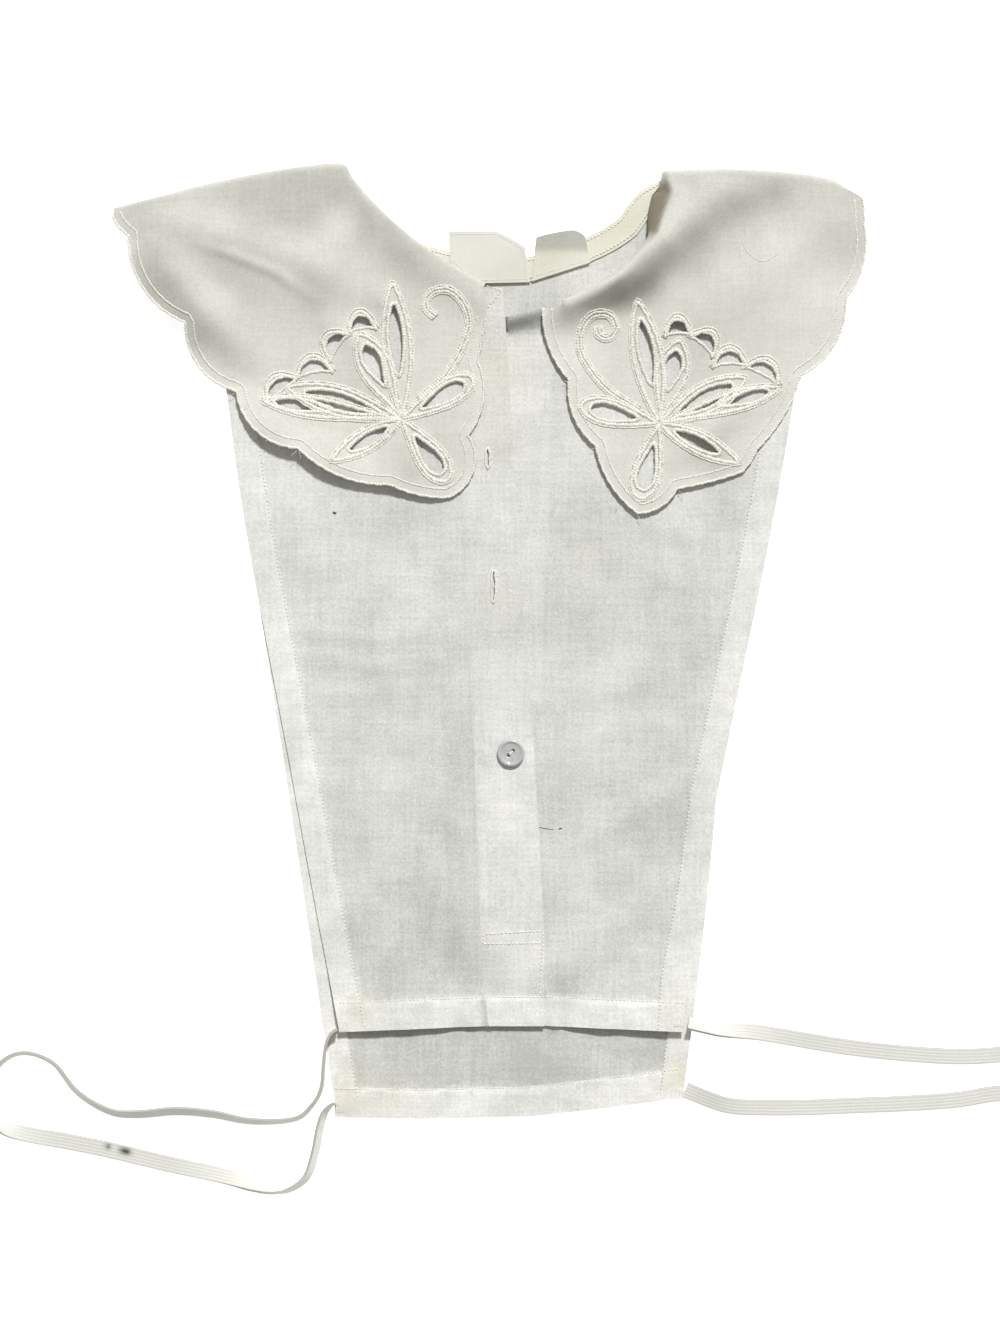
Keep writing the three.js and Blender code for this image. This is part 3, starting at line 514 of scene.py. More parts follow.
SATIN_CORD, WING_CORD, EDGE_CORD = 1.8, 1.5, 0.75  # widths of the embroidered lines
SCALLOP_LINE = 4.3  # how far inside the scallops the second embroidered line runs
FLOWER_REACH = 42.0  # the stitching puckers the cloth this far from a flower's middle


def bib_relief(x, y):
    """The bibs' creases, flatter under the collar, and the unevenness of handled cloth."""
    open_part = 1 - 0.75 * smooth(y, 40, 70)
    return fold_height(FRONT_CREASES, x, y) * open_part + ripple(x, y, 21, 0.35) + ripple(x, y, 9, 0.14)


def patches(table, x, y):
    """Soft round patches, each (x, y, size, amount), added up."""
    total = np.zeros_like(x)
    for px, py, size, amount in table:
        total += amount * np.exp(-((x - px) ** 2 + (y - py) ** 2) / size**2)
    return total


SOILED = [  # yellowed places on the bibs and their hems: x, y, size, amount
    (-60, -166, 7, 0.3), (-64, -206, 8, 0.35), (-46, -207, 9, 0.2), (84, -196, 7, 0.4), (82, -166, 7, 0.2),
    (-20, 149, 16, 0.25), (2, 120, 14, 0.2), (2, 90, 10, 0.15), (6, 18, 7, 0.12), (-62, -192, 6, 0.15),
    (44, 38, 6, 0.08), (28, 176, 8, 0.25), (52, 190, 10, 0.2), (10, 166, 7, 0.15),
]


SHEER = 0.26  # how full a single cloth looks where nothing lies under it


def lawn_piece(name, outline, holes, spacing, top, fullness_and_painted_light, material, lines=()):
    """A cloth piece cut to an outline, lying at top(x, y)."""
    flat, tris = triangulated(outline, holes, spacing, lines)
    x, y = flat[:, 0], flat[:, 1]
    surface = np.stack([x, y, top(x, y)], 1)
    vertices, faces = shell(surface, tris, LAWN)
    made = piece(name, vertices, faces, material)
    add_attribute(made, "fullness_and_painted_light", np.tile(SHEER + (1 - SHEER) * fullness_and_painted_light(x, y), 2))
    add_attribute(made, "soiling_and_painted_shade", np.tile(patches(SOILED, x, y), 2))
    return made


def hem_line(rows, width):
    """The inner edge of a hem along an edge: its sewing line."""
    path = resampled(edge(rows), 2.0)
    return path - right_normals(path) * width


def reach(rows, x, y):
    """Distance of each point from an edge."""
    return nearest_on(edge(rows, 6), np.stack([x, y], 1))[0]


def tube(path, width, height, closed=False, sides=6):
    """A raised cord along points (x, y, z): half sunk in the cloth that carries it."""
    n = len(path)
    width = np.broadcast_to(width, n)[:, None, None]
    flat = right_normals(path[:, :2], closed)
    angles = np.linspace(0, 2 * math.pi, sides, endpoint=False)
    vertices = np.zeros((n, sides, 3))
    vertices[:, :, :2] = path[:, None, :2] + flat[:, None, :] * np.cos(angles)[None, :, None] * width / 2
    vertices[:, :, 2] = path[:, None, 2] + np.sin(angles)[None, :] * height / 2
    return vertices.reshape(-1, 3), ring_faces(n, sides, closed)


def laid(path, top, above=0.1):
    """A path lifted onto the cloth."""
    return np.column_stack([path, top(path[:, 0], path[:, 1]) + above])


def cord_on(path, top, width=1.6, height=1.1, closed=False, step=0.9):
    """A satin-stitched cord on the cloth, guided by hand, and its length along for each point."""
    path = resampled(path, step, closed)
    along = np.arange(len(path)) * step
    waver = 0.13 * np.sin(1.3 * along + path[0, 0]) + 0.1 * np.sin(3.4 * along + path[0, 1])
    path = path + right_normals(path, closed) * waver[:, None] * min(1, width)
    uneven = width * (1 + 0.1 * np.sin(2.6 * along) + 0.07 * np.sin(6.1 * along + 1))
    vertices, faces = tube(laid(path, top), uneven, height, closed)
    return vertices, faces, np.repeat(along, 6)


def stitches(path, top, pitch=STITCH_PITCH, length=1.2, width=0.6, height=0.65):
    """A row of machine stitches: each a small rounded stroke that dips in at both ends."""
    path = resampled(path, pitch)
    parts = []
    for a, b in zip(path, path[1:]):
        middle, half = (a + b) / 2, (b - a) / np.linalg.norm(b - a) * length / 2
        points = np.array([middle - half, middle - half * 0.5, middle + half * 0.5, middle + half])
        line = laid(points, top, 0)
        line[:, 2] += np.array([-0.08, 0.1, 0.1, -0.08])
        parts.append(tube(line, width, height, sides=5))
    return joined(parts)


# Embroidery and cutwork


def leaf(a, b, width, skew, bend=0.0, blunt=False, count=24):
    """A pointed, or at b blunt, outline from a to b, with a sideways bend."""
    along = b - a
    length = np.hypot(*along)
    left = np.array([-along[1], along[0]]) / length
    t = (1 - np.cos(np.linspace(0, math.pi, count + 1))) / 2
    half = width / 2 * np.abs(np.sin(math.pi * t**skew)) ** (0.5 if blunt else 0.8)
    arch = arc_height(t, length, bend)
    spine = a + t[:, None] * along
    one = spine + (arch - half)[:, None] * left
    other = spine + (arch + half)[:, None] * left
    return np.concatenate([one[:-1], other[:0:-1]])


def in_flower(flower, x, y):
    """A place in a flower's own frame, turned, scaled and mirrored onto its flap."""
    turn = math.radians(flower["turn"])
    fx = (x * math.cos(turn) - y * math.sin(turn)) * flower["scale"]
    fy = (x * math.sin(turn) + y * math.cos(turn)) * flower["scale"]
    return np.array([flower["x"] + fx * flower["side"], flower["y"] + fy])


def cutwork(flower):
    """Holes of a flower, and the lines that its satin cords follow as (path, closed, width)."""
    holes, cords = [], []
    place = lambda x, y: in_flower(flower, x, y)
    heart = place(0, 0)
    for left_tip, right_tip, width, hole, near, far, skew, blunt in PETALS:
        x, y = (left_tip, right_tip)[flower["flap"]]
        outer = leaf(heart, place(x, y), width, skew, 0, blunt)
        inner = leaf(place(x * near, y * near), place(x * far, y * far), hole, skew, 0, blunt)
        holes.append(inner)
        cords.append((swollen(inner, 0.9), True, SATIN_CORD))
        cords.append((swollen(outer, -0.3), True, SATIN_CORD))
        cords.append((swollen(outer, 0.9), True, EDGE_CORD))
    crest = []
    for x0, y0, x1, y1, width, bend in WING_CUTS:
        a, b = place(x0, y0), place(x1, y1)
        arch = bend * flower["side"]
        inner = leaf(a, b, width, 1, arch)
        holes.append(inner)
        cords.append((swollen(inner, 0.7), True, WING_CORD))
        crest.append(scallop_over(a, b, width, bend, flower["side"]))
    for pair in (crest[:2], crest[2:]):
        line = np.concatenate(pair)
        cords.append((line, False, SATIN_CORD))
        cords.append((line + right_normals(line) * -1.5 * flower["side"], False, EDGE_CORD))
    curl = spline([place(x, y) for x, y in CURL[: flower["curl"]]], 10)
    sides = right_normals(curl)
    for away, width in ((0.75, WING_CORD), (1.75, EDGE_CORD)):
        cords.append((curl + sides * away, False, width))
        cords.append((curl - sides * away, False, width))
    return holes, cords


def scallop_over(a, b, width, bend, side):
    """The arched line that runs over a wing's crescent hole, on the side away from the heart."""
    along = b - a
    length = np.hypot(*along)
    away = side * np.array([-along[1], along[0]]) / length
    t = np.linspace(-0.06, 1.06, 22)
    rise = arc_height(np.clip(t, 0, 1), length, bend) + (width / 2 + 2.1) * (1 - np.abs(2 * t - 1) ** 2.4)
    return a + t[:, None] * along + rise[:, None] * away


def swollen(loop, by):
    """A closed loop moved outwards."""
    area = np.sum(loop[:, 0] * np.roll(loop[:, 1], -1) - np.roll(loop[:, 0], -1) * loop[:, 1])
    path = resampled(loop, 1.0, closed=True)
    return path + right_normals(path, True) * by * math.copysign(1, area)


# Collar


COLLAR_PAINTED_LIGHT = [  # painted shade and painted light on the two flaps, following their folds: x, y, size, amount
    (-150, 162, 14, -0.3), (-132, 144, 12, -0.3), (-114, 128, 9, -0.15), (-130, 190, 18, 0.12),
    (-66, 188, 10, 0.6), (-52, 176, 8, 0.2), (-38, 76, 12, -0.25), (-78, 157, 9, -0.3),
    (-112, 140, 12, -0.25), (-98, 186, 16, -0.12), (-90, 176, 14, 0.08), (100, 82, 9, -0.35),
    (92, 168, 7, -0.2), (62, 152, 7, -0.4), (71, 160, 7, -0.25), (134, 176, 18, 0.25),
    (150, 160, 16, 0.2), (110, 160, 14, 0.15), (40, 132, 10, 0.15),
]
COLLAR_MARKS_AND_SHADE = [  # handling marks and yellowing, and painted shade in the folds, under the neck roll and between the petals: x, y, size, amount
    (-41, 186, 8, 0.09), (-55, 194, 7, 0.06), (-66, 166, 7, 0.07), (-84, 164, 4, 0.08),
    (-122, 176, 5, 0.08), (-128, 190, 7, 0.04), (-100, 198, 12, 0.03), (-32, 145, 6, 0.07),
    (-50, 150, 2, 0.17), (94, 177, 9, 0.16), (112, 192, 8, 0.09), (128, 200, 9, 0.06), (70, 158, 9, 0.28),
    (56, 152, 7, 0.26), (140, 168, 9, 0.03), (-64, 70, 6, 0.07), (-38, 84, 8, 0.03), (46, 112, 7, 0.03),
    (30, 140, 6, 0.08), (-62, 118, 9, 0.07), (-48, 128, 6, 0.06), (104, 112, 10, 0.05), (92, 124, 8, 0.05),
]


NECK_GAPE = [(166, 0), (178, 0.5), (190, 1), (200, 1.2), (208.6, 0.3)]  # y, share of how far the roll gapes


def turned_under(foot, outward, away, on_neck, reached, gaping, upper, bottom):
    """Where cloth that goes round a fold comes to lie, and how much shade is painted on it inside the neck
    roll where it gapes.

    It follows half an ellipse from the flap's face down to what it rests on, then runs back under the flap.
    """
    angle = np.clip(away / WRAP, 0, 1) * math.pi
    leg = np.clip(away - WRAP, 0, None)
    gape = np.where(on_neck, gaping * np.interp(foot[:, 1], *zip(*NECK_GAPE)), 0)
    gape *= smooth(-outward[:, 0], 0.3, 0.9)
    swing = np.where(on_neck, NECK_REACH, SHOULDER_REACH) * reached
    across = swing * np.sin(angle) * (1 - gape / 14) + gape * (1 - np.cos(angle)) / 2
    leg *= np.where(gape > 0.5, 0, 1)
    places = foot + outward * (across - leg)[:, None]
    heights = (upper + bottom) / 2 + (upper - bottom) / 2 * np.cos(angle)
    return np.column_stack([places, heights]), 0.8 * smooth(gape, 1.5, 6) * smooth(angle, 0.25, 1.0)


def embroidery(name, cords, scallops, top):
    """The satin cords of a flower, and the two lines that run along the scallops."""
    trims = [cord_on(path, top, width, 0.45 + 0.42 * width, closed) for path, closed, width in cords]
    rim = resampled(edge(scallops), 0.9)
    inward = -right_normals(rim)
    trims.append(cord_on(rim + inward * 0.4, top, 1.1, 0.8))
    line = rim + inward * SCALLOP_LINE
    line = line[nearest_on(rim, line)[0] > SCALLOP_LINE - 0.2]
    trims.append(cord_on(line, top, 0.7, 0.5))
    vertices, faces = joined([(v, f) for v, f, _ in trims])
    thread = piece(name, vertices, faces, materials["satin"], 0)
    add_attribute(thread, "along", np.concatenate([a for _, _, a in trims]))
    return thread


def collar_half(name, rows, low, seat, lift, flower, back_half, gaping):
    """Half a collar: one cloth from the flap round its shoulder and neck folds, and the plain back half.

    Gaping is how far the neck roll stands open near the shoulder, in millimetres.
    """
    scallops, neck, shoulder, neck_first = rows
    fold_rows = neck + shoulder if neck_first else shoulder + neck
    fold = resampled(edge(fold_rows), 2.0)
    flap = edge(scallops + fold_rows, closed=True)
    neck_line = edge(neck + shoulder[:1] if neck_first else shoulder[-1:] + neck, 3)
    far = fold + right_normals(fold) * (WRAP + LEG)
    free_edge = edge(scallops + fold_rows[:1], 1.3)
    last = edge([fold_rows[-1]] + scallops[:1], 1.3)
    domain = np.concatenate([free_edge, far, last[:-1]])
    holes, cords = cutwork(flower)

    def top(x, y):
        near_flower = np.exp(-((x - flower["x"]) ** 2 + (y - flower["y"] - 8) ** 2) / FLOWER_REACH**2)
        lively = ripple(x, y, 7, 0.5) * near_flower + ripple(x, y, 17, 0.5)
        return low(x, y) + fold_height(lift, x, y) + lively + LAWN

    flat, tris = triangulated(domain, holes, FLAP_STEP)
    x, y = flat[:, 0], flat[:, 1]
    surface = np.stack([x, y, top(x, y)], 1)
    away, foot = nearest_on(fold, flat)
    beyond = ~inside(flap, flat) & (away > 0.01) & (nearest_on(free_edge, flat)[0] > 0.05)
    away, foot = away[beyond], foot[beyond]
    outward = (flat[beyond] - foot) / away[:, None]
    on_neck = nearest_on(neck_line, foot)[0] < 0.5
    fx, fy = foot[:, 0], foot[:, 1]
    corner = np.array(scallops[0 if neck_first else -1][:2])
    gap = np.linalg.norm(corner - (fold[-1] if neck_first else fold[0]))
    reached = smooth(np.linalg.norm(foot - corner, axis=1), 0.7 * gap, 2.3 * gap)
    bottom = np.where(on_neck, seat(fx, fy), LAWN + 0.05)
    surface[beyond], stand_painted_shade = turned_under(
        foot, outward, away, on_neck, reached, gaping, top(fx, fy), bottom
    )
    cloth = shell(surface, tris, LAWN)

    back_flat, back_tris = triangulated(edge(back_half, 2.5, closed=True), [], BIB_STEP)
    back_sheet = np.column_stack([back_flat, np.full(len(back_flat), LAWN)])
    made = piece(name, *joined([cloth, shell(back_sheet, back_tris, LAWN)]), materials["collar"])
    # Palest at the scallops, where the edge is turned in, and greyest at the shoulder fold
    shade = 0.62 - 0.34 * smooth(y, 140, 195) + 0.2 * np.exp(-reach(scallops, x, y) / 3.0)
    # Painted shade and painted light where the flaps' folds turn away from or towards the light
    shade += patches(COLLAR_PAINTED_LIGHT, x, y)
    add_attribute(made, "fullness_and_painted_light", np.concatenate([np.tile(shade, 2), np.full(2 * len(back_sheet), 0.4)]))
    marks_and_shade = patches(COLLAR_MARKS_AND_SHADE, x, y)
    # Inside the gaping neck roll the stand is painted dark as shade
    marks_and_shade[beyond] += stand_painted_shade
    add_attribute(made, "soiling_and_painted_shade", np.concatenate([np.tile(marks_and_shade, 2), np.zeros(2 * len(back_sheet))]))
    return made, embroidery(name + "_embroidery", cords, scallops, top), top


# Materials


def colour(code):
    """An sRGB hex value as linear RGBA."""
    parts = [int(code[i : i + 2], 16) / 255 for i in (0, 2, 4)]
    return [c / 12.92 if c <= 0.04045 else ((c + 0.055) / 1.055) ** 2.4 for c in parts] + [1]


def new_material(name):
    """A material without nodes, and its node tree."""
    made = bpy.data.materials.new(name)
    made.use_nodes = True
    made.node_tree.nodes.clear()
    return made, made.node_tree


def add(tree, kind, inputs=(), **settings):
    """Adds a shader node with its settings; inputs pairs a socket with a value or another node's output."""
    node = tree.nodes.new("ShaderNode" + kind)
    for name, value in settings.items():
        setattr(node, name, value)
    for socket, value in dict(inputs).items():
        if isinstance(value, bpy.types.NodeSocket):
            tree.links.new(value, node.inputs[socket])
        else:
            node.inputs[socket].default_value = value
    return node


def summed(tree, one, other, clamp=False):
    """Two values added up."""
    return add(tree, "Math", {0: one, 1: other}, operation="ADD", use_clamp=clamp).outputs[0]


def scaled(tree, value, by):
    """A value multiplied by a number."""
    return add(tree, "Math", {0: value, 1: by}, operation="MULTIPLY").outputs[0]


def ranged(tree, value, before, after):
    """A value moved from one range to another."""
    limits = {1: before[0], 2: before[1], 3: after[0], 4: after[1]}
    return add(tree, "MapRange", {"Value": value, **limits}).outputs[0]


def mixed(tree, share, one, other):
    """The first colour where the share is 0 and the other where it is 1."""
    return add(tree, "Mix", {"Factor": share, "A": one, "B": other}, data_type="RGBA").outputs[2]


def end_in_surface(tree, look):
    """Ends a material in a surface of that look."""
    surface = add(tree, "BsdfPrincipled", look)
    add(tree, "OutputMaterial", {"Surface": surface.outputs[0]})


WAVES_PER_UNIT = 0.314  # a wave texture of this scale repeats once in each unit of length


def woven(name, thin, full, thread_mm, roughness, slub=0.16, bump=0.35, soil_and_shade="b3a98c"):
    """Plain-woven cloth: matt, with slubs along both threads, paler where more layers lie together.

    Threads are really 0.25 mm apart; they are drawn coarser, at thread_mm, so that the weave shows.
    soil_and_shade is the colour of stains and of painted shade, where the points carry an amount of
    soiling_and_painted_shade.
    """
    material, tree = new_material(name)
    place = add(tree, "TexCoord").outputs["Object"]
    waves, slubs = [], []
    for axis, stretch in (("X", (1, 0.06, 1)), ("Y", (0.06, 1, 1))):
        wave = add(
            tree, "TexWave",
            {"Vector": place, "Scale": WAVES_PER_UNIT / (thread_mm * MM), "Distortion": 2.5, "Detail": 2.0,
             "Detail Scale": 1.4},
            wave_type="BANDS", bands_direction=axis,
        )
        waves.append(wave.outputs["Fac"])
        along = add(tree, "Mapping", {"Vector": place, "Scale": stretch}).outputs[0]
        noise = add(tree, "TexNoise", {"Vector": along, "Scale": 700.0, "Detail": 3.0})
        slubs.append(noise.outputs["Fac"])
    both = summed(tree, *slubs)
    cloud = add(tree, "TexNoise", {"Vector": place, "Scale": 26.0, "Detail": 5.0, "Roughness": 0.62})
    fibre = add(tree, "TexNoise", {"Vector": place, "Scale": 900.0, "Detail": 3.0, "Roughness": 0.7})
    grain = ranged(tree, both, (0.7, 1.3), (-slub / 2, slub / 2))
    patch = ranged(tree, cloud.outputs["Fac"], (0.3, 0.7), (-slub, slub))
    fuzz = ranged(tree, fibre.outputs["Fac"], (0.3, 0.7), (-slub, slub))
    uneven = summed(tree, summed(tree, grain, patch), fuzz)
    # fullness_and_painted_light holds how many layers lie together, with painted shade and painted light
    # added in places
    layers = add(tree, "Attribute", attribute_name="fullness_and_painted_light").outputs["Fac"]
    share = summed(tree, layers, uneven, clamp=True)
    marks_and_shade = add(tree, "Attribute", attribute_name="soiling_and_painted_shade").outputs["Fac"]
    tint = mixed(tree, marks_and_shade, mixed(tree, share, colour(thin), colour(full)), colour(soil_and_shade))
    threads = scaled(tree, summed(tree, *waves), 0.3)
    relief = summed(tree, threads, summed(tree, both, fibre.outputs["Fac"]))
    dents = add(tree, "Bump", {"Strength": bump, "Distance": 0.00025, "Height": relief}).outputs[0]
    end_in_surface(tree, {
        "Base Color": tint, "Roughness": roughness, "IOR": 1.5, "Specular IOR Level": 0.25,
        "Sheen Weight": 0.12, "Sheen Roughness": 0.5, "Normal": dents,
    })
    return material


def twisted_thread(name, shade, between, roughness, pitch_mm):
    """Rayon embroidery or cotton sewing thread laid side by side, which gives a soft silky line.

    The threads are 0.3 mm thick; they are drawn pitch_mm apart so that they show, with painted shade greying
    the grooves between them.
    """
    material, tree = new_material(name)
    along = add(tree, "Attribute", attribute_name="along").outputs["Fac"]
    turns = scaled(tree, along, 2 * math.pi / pitch_mm)
    rows = add(tree, "Math", {0: turns}, operation="SINE").outputs[0]
    dents = add(tree, "Bump", {"Strength": 0.3, "Distance": 0.0002, "Height": rows}).outputs[0]
    place = add(tree, "TexCoord").outputs["Object"]
    noise = add(tree, "TexNoise", {"Vector": place, "Scale": 700.0, "Detail": 2.0}).outputs["Fac"]
    part = ranged(tree, summed(tree, scaled(tree, rows, 0.12), noise), (0.25, 0.65), (0.0, 1.0))
    end_in_surface(tree, {
        "Base Color": mixed(tree, part, colour(between), colour(shade)), "Roughness": roughness, "IOR": 1.5,
        "Specular IOR Level": 0.4, "Sheen Weight": 0.2, "Normal": dents,
    })
    return material


def polyester_button():
    """Cast polyester with a pearly grey cloud in it, polished on its face."""
    material, tree = new_material("cast_polyester_pearl")
    place = add(tree, "TexCoord").outputs["Object"]
    swirl = add(tree, "TexNoise", {"Vector": place, "Scale": 260.0, "Detail": 3.0, "Distortion": 1.2})
    end_in_surface(tree, {
        "Base Color": mixed(tree, swirl.outputs["Fac"], colour("a9a9aa"), colour("d8d8d7")),
        "Roughness": 0.22, "IOR": 1.55, "Coat Weight": 0.3, "Coat Roughness": 0.1,
        "Subsurface Weight": 0.15, "Subsurface Scale": 0.002,
    })
    return material


materials = {
    # Fine plain-woven cotton, a little sheer: single cloth looks greyer than the hems, and it is dead matt
    "lawn": woven(
        "cotton_lawn", thin="bbbcb8", full="f6f6f3", thread_mm=0.9, roughness=0.85, slub=0.22, bump=0.16,
        soil_and_shade="d6cfa8",
    ),
    # The same weave, a little closer: creamier and less sheer; its worn places turn brown, and the same
    # brown is painted as shade into its folds and into the neck roll
    "collar": woven(
        "cotton_lawn_collar", thin="b9b9b1", full="ebebe5", thread_mm=0.9, roughness=0.8, slub=0.15,
        bump=0.14, soil_and_shade="6b5e43",
    ),
    # Bias-cut cotton binding, yellowed
    "tape": woven(
        "cotton_binding", thin="d3d2c2", full="eceadb", thread_mm=0.9, roughness=0.8, slub=0.16, bump=0.15,
        soil_and_shade="b9ac86",
    ),
    # Label taffeta and satin: smoother than the cotton, so a little brighter at a grazing light
    "label": woven(
        "taffeta_label", thin="d2d2ca", full="ecebe3", thread_mm=0.8, roughness=0.6, slub=0.1, bump=0.1
    ),
    "care": woven(
        "satin_label", thin="a2a6a2", full="e6e5d8", thread_mm=0.8, roughness=0.5, slub=0.08, bump=0.1
    ),
    # Braided rubber and polyester, matt, with grey painted along its edges as shade
    "elastic": woven(
        "braided_elastic", thin="cdcec8", full="e6e6e0", thread_mm=0.9, roughness=0.75, slub=0.14,
        bump=0.15, soil_and_shade="5a564c",
    ),
    # Rayon satin stitch shines softly along each row; the cotton sewing thread is duller
    "satin": twisted_thread(
        "rayon_embroidery_thread", shade="f7f6ee", between="d6d5ca", roughness=0.5, pitch_mm=1.3
    ),
    "sewing": twisted_thread(
        "cotton_sewing_thread", shade="f2f1ea", between="dddcd4", roughness=0.6, pitch_mm=0.9
    ),
    "button": polyester_button(),
}


# Bibs


# The right front's neck edge rolls up, and the deep shade under the roll is painted into the cloth below it
NECK_SHADE = [[(7, 140.4, 0.9, 3), (16, 142.4, 1, 4), (24, 144, 1, 5)]]
NECK_EDGE_RISE = [[(8, 145.2, 6.5, 5), (16, 147.6, 6.5, 5.4), (22, 149.6, 4.4, 5), (26, 150.8, 0.6, 4)]]


FRONT_PLAIN, BACK_PLAIN = 0.22, 0.05  # how full the single cloth of each bib looks
SIDE_HEM_PALER, SIDE_HEM_FADE, BOTTOM_HEM_PALER = 0.33, 0.16, 0.48
HEM_MIDDLE, HEM_SUNK, HEM_LIFTED = 9, -0.4, 2.8  # x where the front hems lie lowest, and their lift


def front_top(low):
    """Upper face of a front bib, whose hem stands off the back bib but for its middle."""

    def top(x, y):
        lift = HEM_SUNK + HEM_LIFTED * smooth(np.abs(x - HEM_MIDDLE), 12, 46)
        settled = lift * (1 - smooth(y, -174, -140))
        return low(x, y) + bib_relief(x, y) + settled + LAWN

    return top


def within(distance, width):
    """1 in a hem of that width and 0 past it, with a soft step at the sewing line."""
    return 1 - smooth(distance, width - 0.4, width + 0.4)


def hem_share(x, y, sides, side_width, bottom, bottom_width):
    """How much paler a hem is than single cloth: least at the top of the sides, where painted shade of the
    collar dims them.
    """
    on_side = within(reach(sides, x, y), side_width)
    on_bottom = within(reach(bottom, x, y), bottom_width)
    side_paler = SIDE_HEM_PALER - SIDE_HEM_FADE * smooth(y, 20, 100)
    return np.maximum(on_side * side_paler, BOTTOM_HEM_PALER * on_bottom)


TAB_SIDES = [  # where the placket's end casts a line of shade beside it on the hem
    [(-3.4, -160, 0.3, 1.1), (-2.2, -174, 0.5, 1.3)], [(31.5, -156, 0.25, 3), (33, -174, 0.3, 3.4)],
]
PALER = [  # places where the bibs look paler or greyer: x, y, size, amount
    (44, -134, 18, 0.2), (32, -155, 10, -0.45), (-34, -134, 30, -0.32), (88, -90, 16, -0.35),
    (62, 0, 38, -0.12), (-62, -60, 36, 0.06), (-80, -60, 10, 0.1), (66, -82, 22, -0.14),
    (36, -82, 12, -0.06), (36, -26, 16, 0.06), (56, -110, 17, -0.22), (-20, -190, 30, -0.12),
    (30, -190, 26, -0.18), (-16, -104, 18, 0.08), (-56, 2, 18, -0.06), (56, 104, 20, 0.12),
    (-12, -134, 9, -0.3), (26, 26, 22, -0.12), (94, -60, 12, -0.12),
]


def under_collar(x, y):
    """How much paler a bib looks: the collar's back half shows through near the top, and the PALER patches
    make it paler or greyer in places.
    """
    return 0.14 * smooth(y, -30, 90) + patches(PALER, x, y)


# Towards the neck the placket's paleness falls away as painted shade of the collar
PLACKET_PALENESS = [  # y, how much paler the folded placket is than single cloth
    (-160, 0), (-150, 0.08), (-135, 0.2), (-115, 0.3), (-50, 0.3), (-25, 0.1), (20, 0.06), (60, 0.12),
    (95, 0),
]


def fold_x(y):
    """The placket's sewn inner edge."""
    return np.interp(y, [-172, 36, 150], [-2.5, -11, -17])


def facing_x(y):
    """The inner edge of the underlap's facing, which shows through."""
    return np.interp(y, [-173, -40, -11, 30, 97, 150], [22, 21.5, 22.7, 24.7, 27.2, 29])


def front_left_full_and_shade(x, y):
    """How full the left front looks: palest where most layers lie together, with a painted line of shade
    beside the placket's end.
    """
    hem = hem_share(x, y, FRONT_LEFT_SIDE, SIDE_HEM, FRONT_LEFT_HEM, BOTTOM_HEM)
    band = smooth(x - fold_x(y), -0.4, 0.4) * np.interp(y, *zip(*PLACKET_PALENESS))
    return FRONT_PLAIN + under_collar(x, y) + hem + band - fold_height(TAB_SIDES[:1], x, y)


def front_right_full_and_shade(x, y):
    """How full the right front looks, with the facing that shows through it, and painted shade beside the
    placket's end and under the rolled neck edge.
    """
    hem = hem_share(x, y, FRONT_RIGHT_SIDE, SIDE_HEM, FRONT_RIGHT_HEM, BOTTOM_HEM)
    facing = within(x - facing_x(y), 0)
    paleness = FRONT_PLAIN + under_collar(x, y) + hem + 0.14 * facing * smooth(y, -34, -22)
    # Painted shade under the rolled neck edge, where the placket doesn't cover it
    painted_pocket_shade = 0.9 * fold_height(NECK_SHADE, x, y) * smooth(x - placket_edge(y), 0.2, 1.6)
    return paleness - fold_height(TAB_SIDES[1:], x, y) - painted_pocket_shade


def back_full(x, y):
    """How full the back bib looks: pale at its hems and near the collar."""
    left = within(reach(BACK_LEFT_SIDE[:-1], x, y), BACK_SIDE_HEM)
    right = within(reach(BACK_RIGHT_SIDE, x, y), BACK_SIDE_HEM)
    bottom = within(reach(BACK_HEM, x, y), BOTTOM_HEM)
    return BACK_PLAIN + 0.6 * np.maximum(bottom, np.maximum(left, right)) + under_collar(x, y)


def hemmed(low, full, plain):
    """The surface with its hems standing a little proud of the single cloth."""
    base = front_top(low)

    def top(x, y):
        proud = np.clip(full(x, y) - under_collar(x, y) - plain, 0, 0.4)
        return base(x, y) + proud * (0.6 + ripple(x, y, 4, 2.2))

    return top


left_top = hemmed(front_left_low, front_left_full_and_shade, FRONT_PLAIN)
right_flat_top = hemmed(front_low, front_right_full_and_shade, FRONT_PLAIN)


def right_top(x, y):
    """The right front, whose neck edge rolls up where the placket doesn't cover it."""
    uncovered = smooth(x - placket_edge(y), 0.5, 1.7)
    return right_flat_top(x, y) + fold_height(NECK_EDGE_RISE, x, y) * uncovered


def back_top(x, y):
    """Upper face of the back bib, with its hems a little proud."""
    proud = np.clip(back_full(x, y) - under_collar(x, y) - BACK_PLAIN, 0, 0.6)
    return back_low(x, y) + bib_relief(x, y) + proud * (0.4 + ripple(x, y, 4, 1.6)) + LAWN


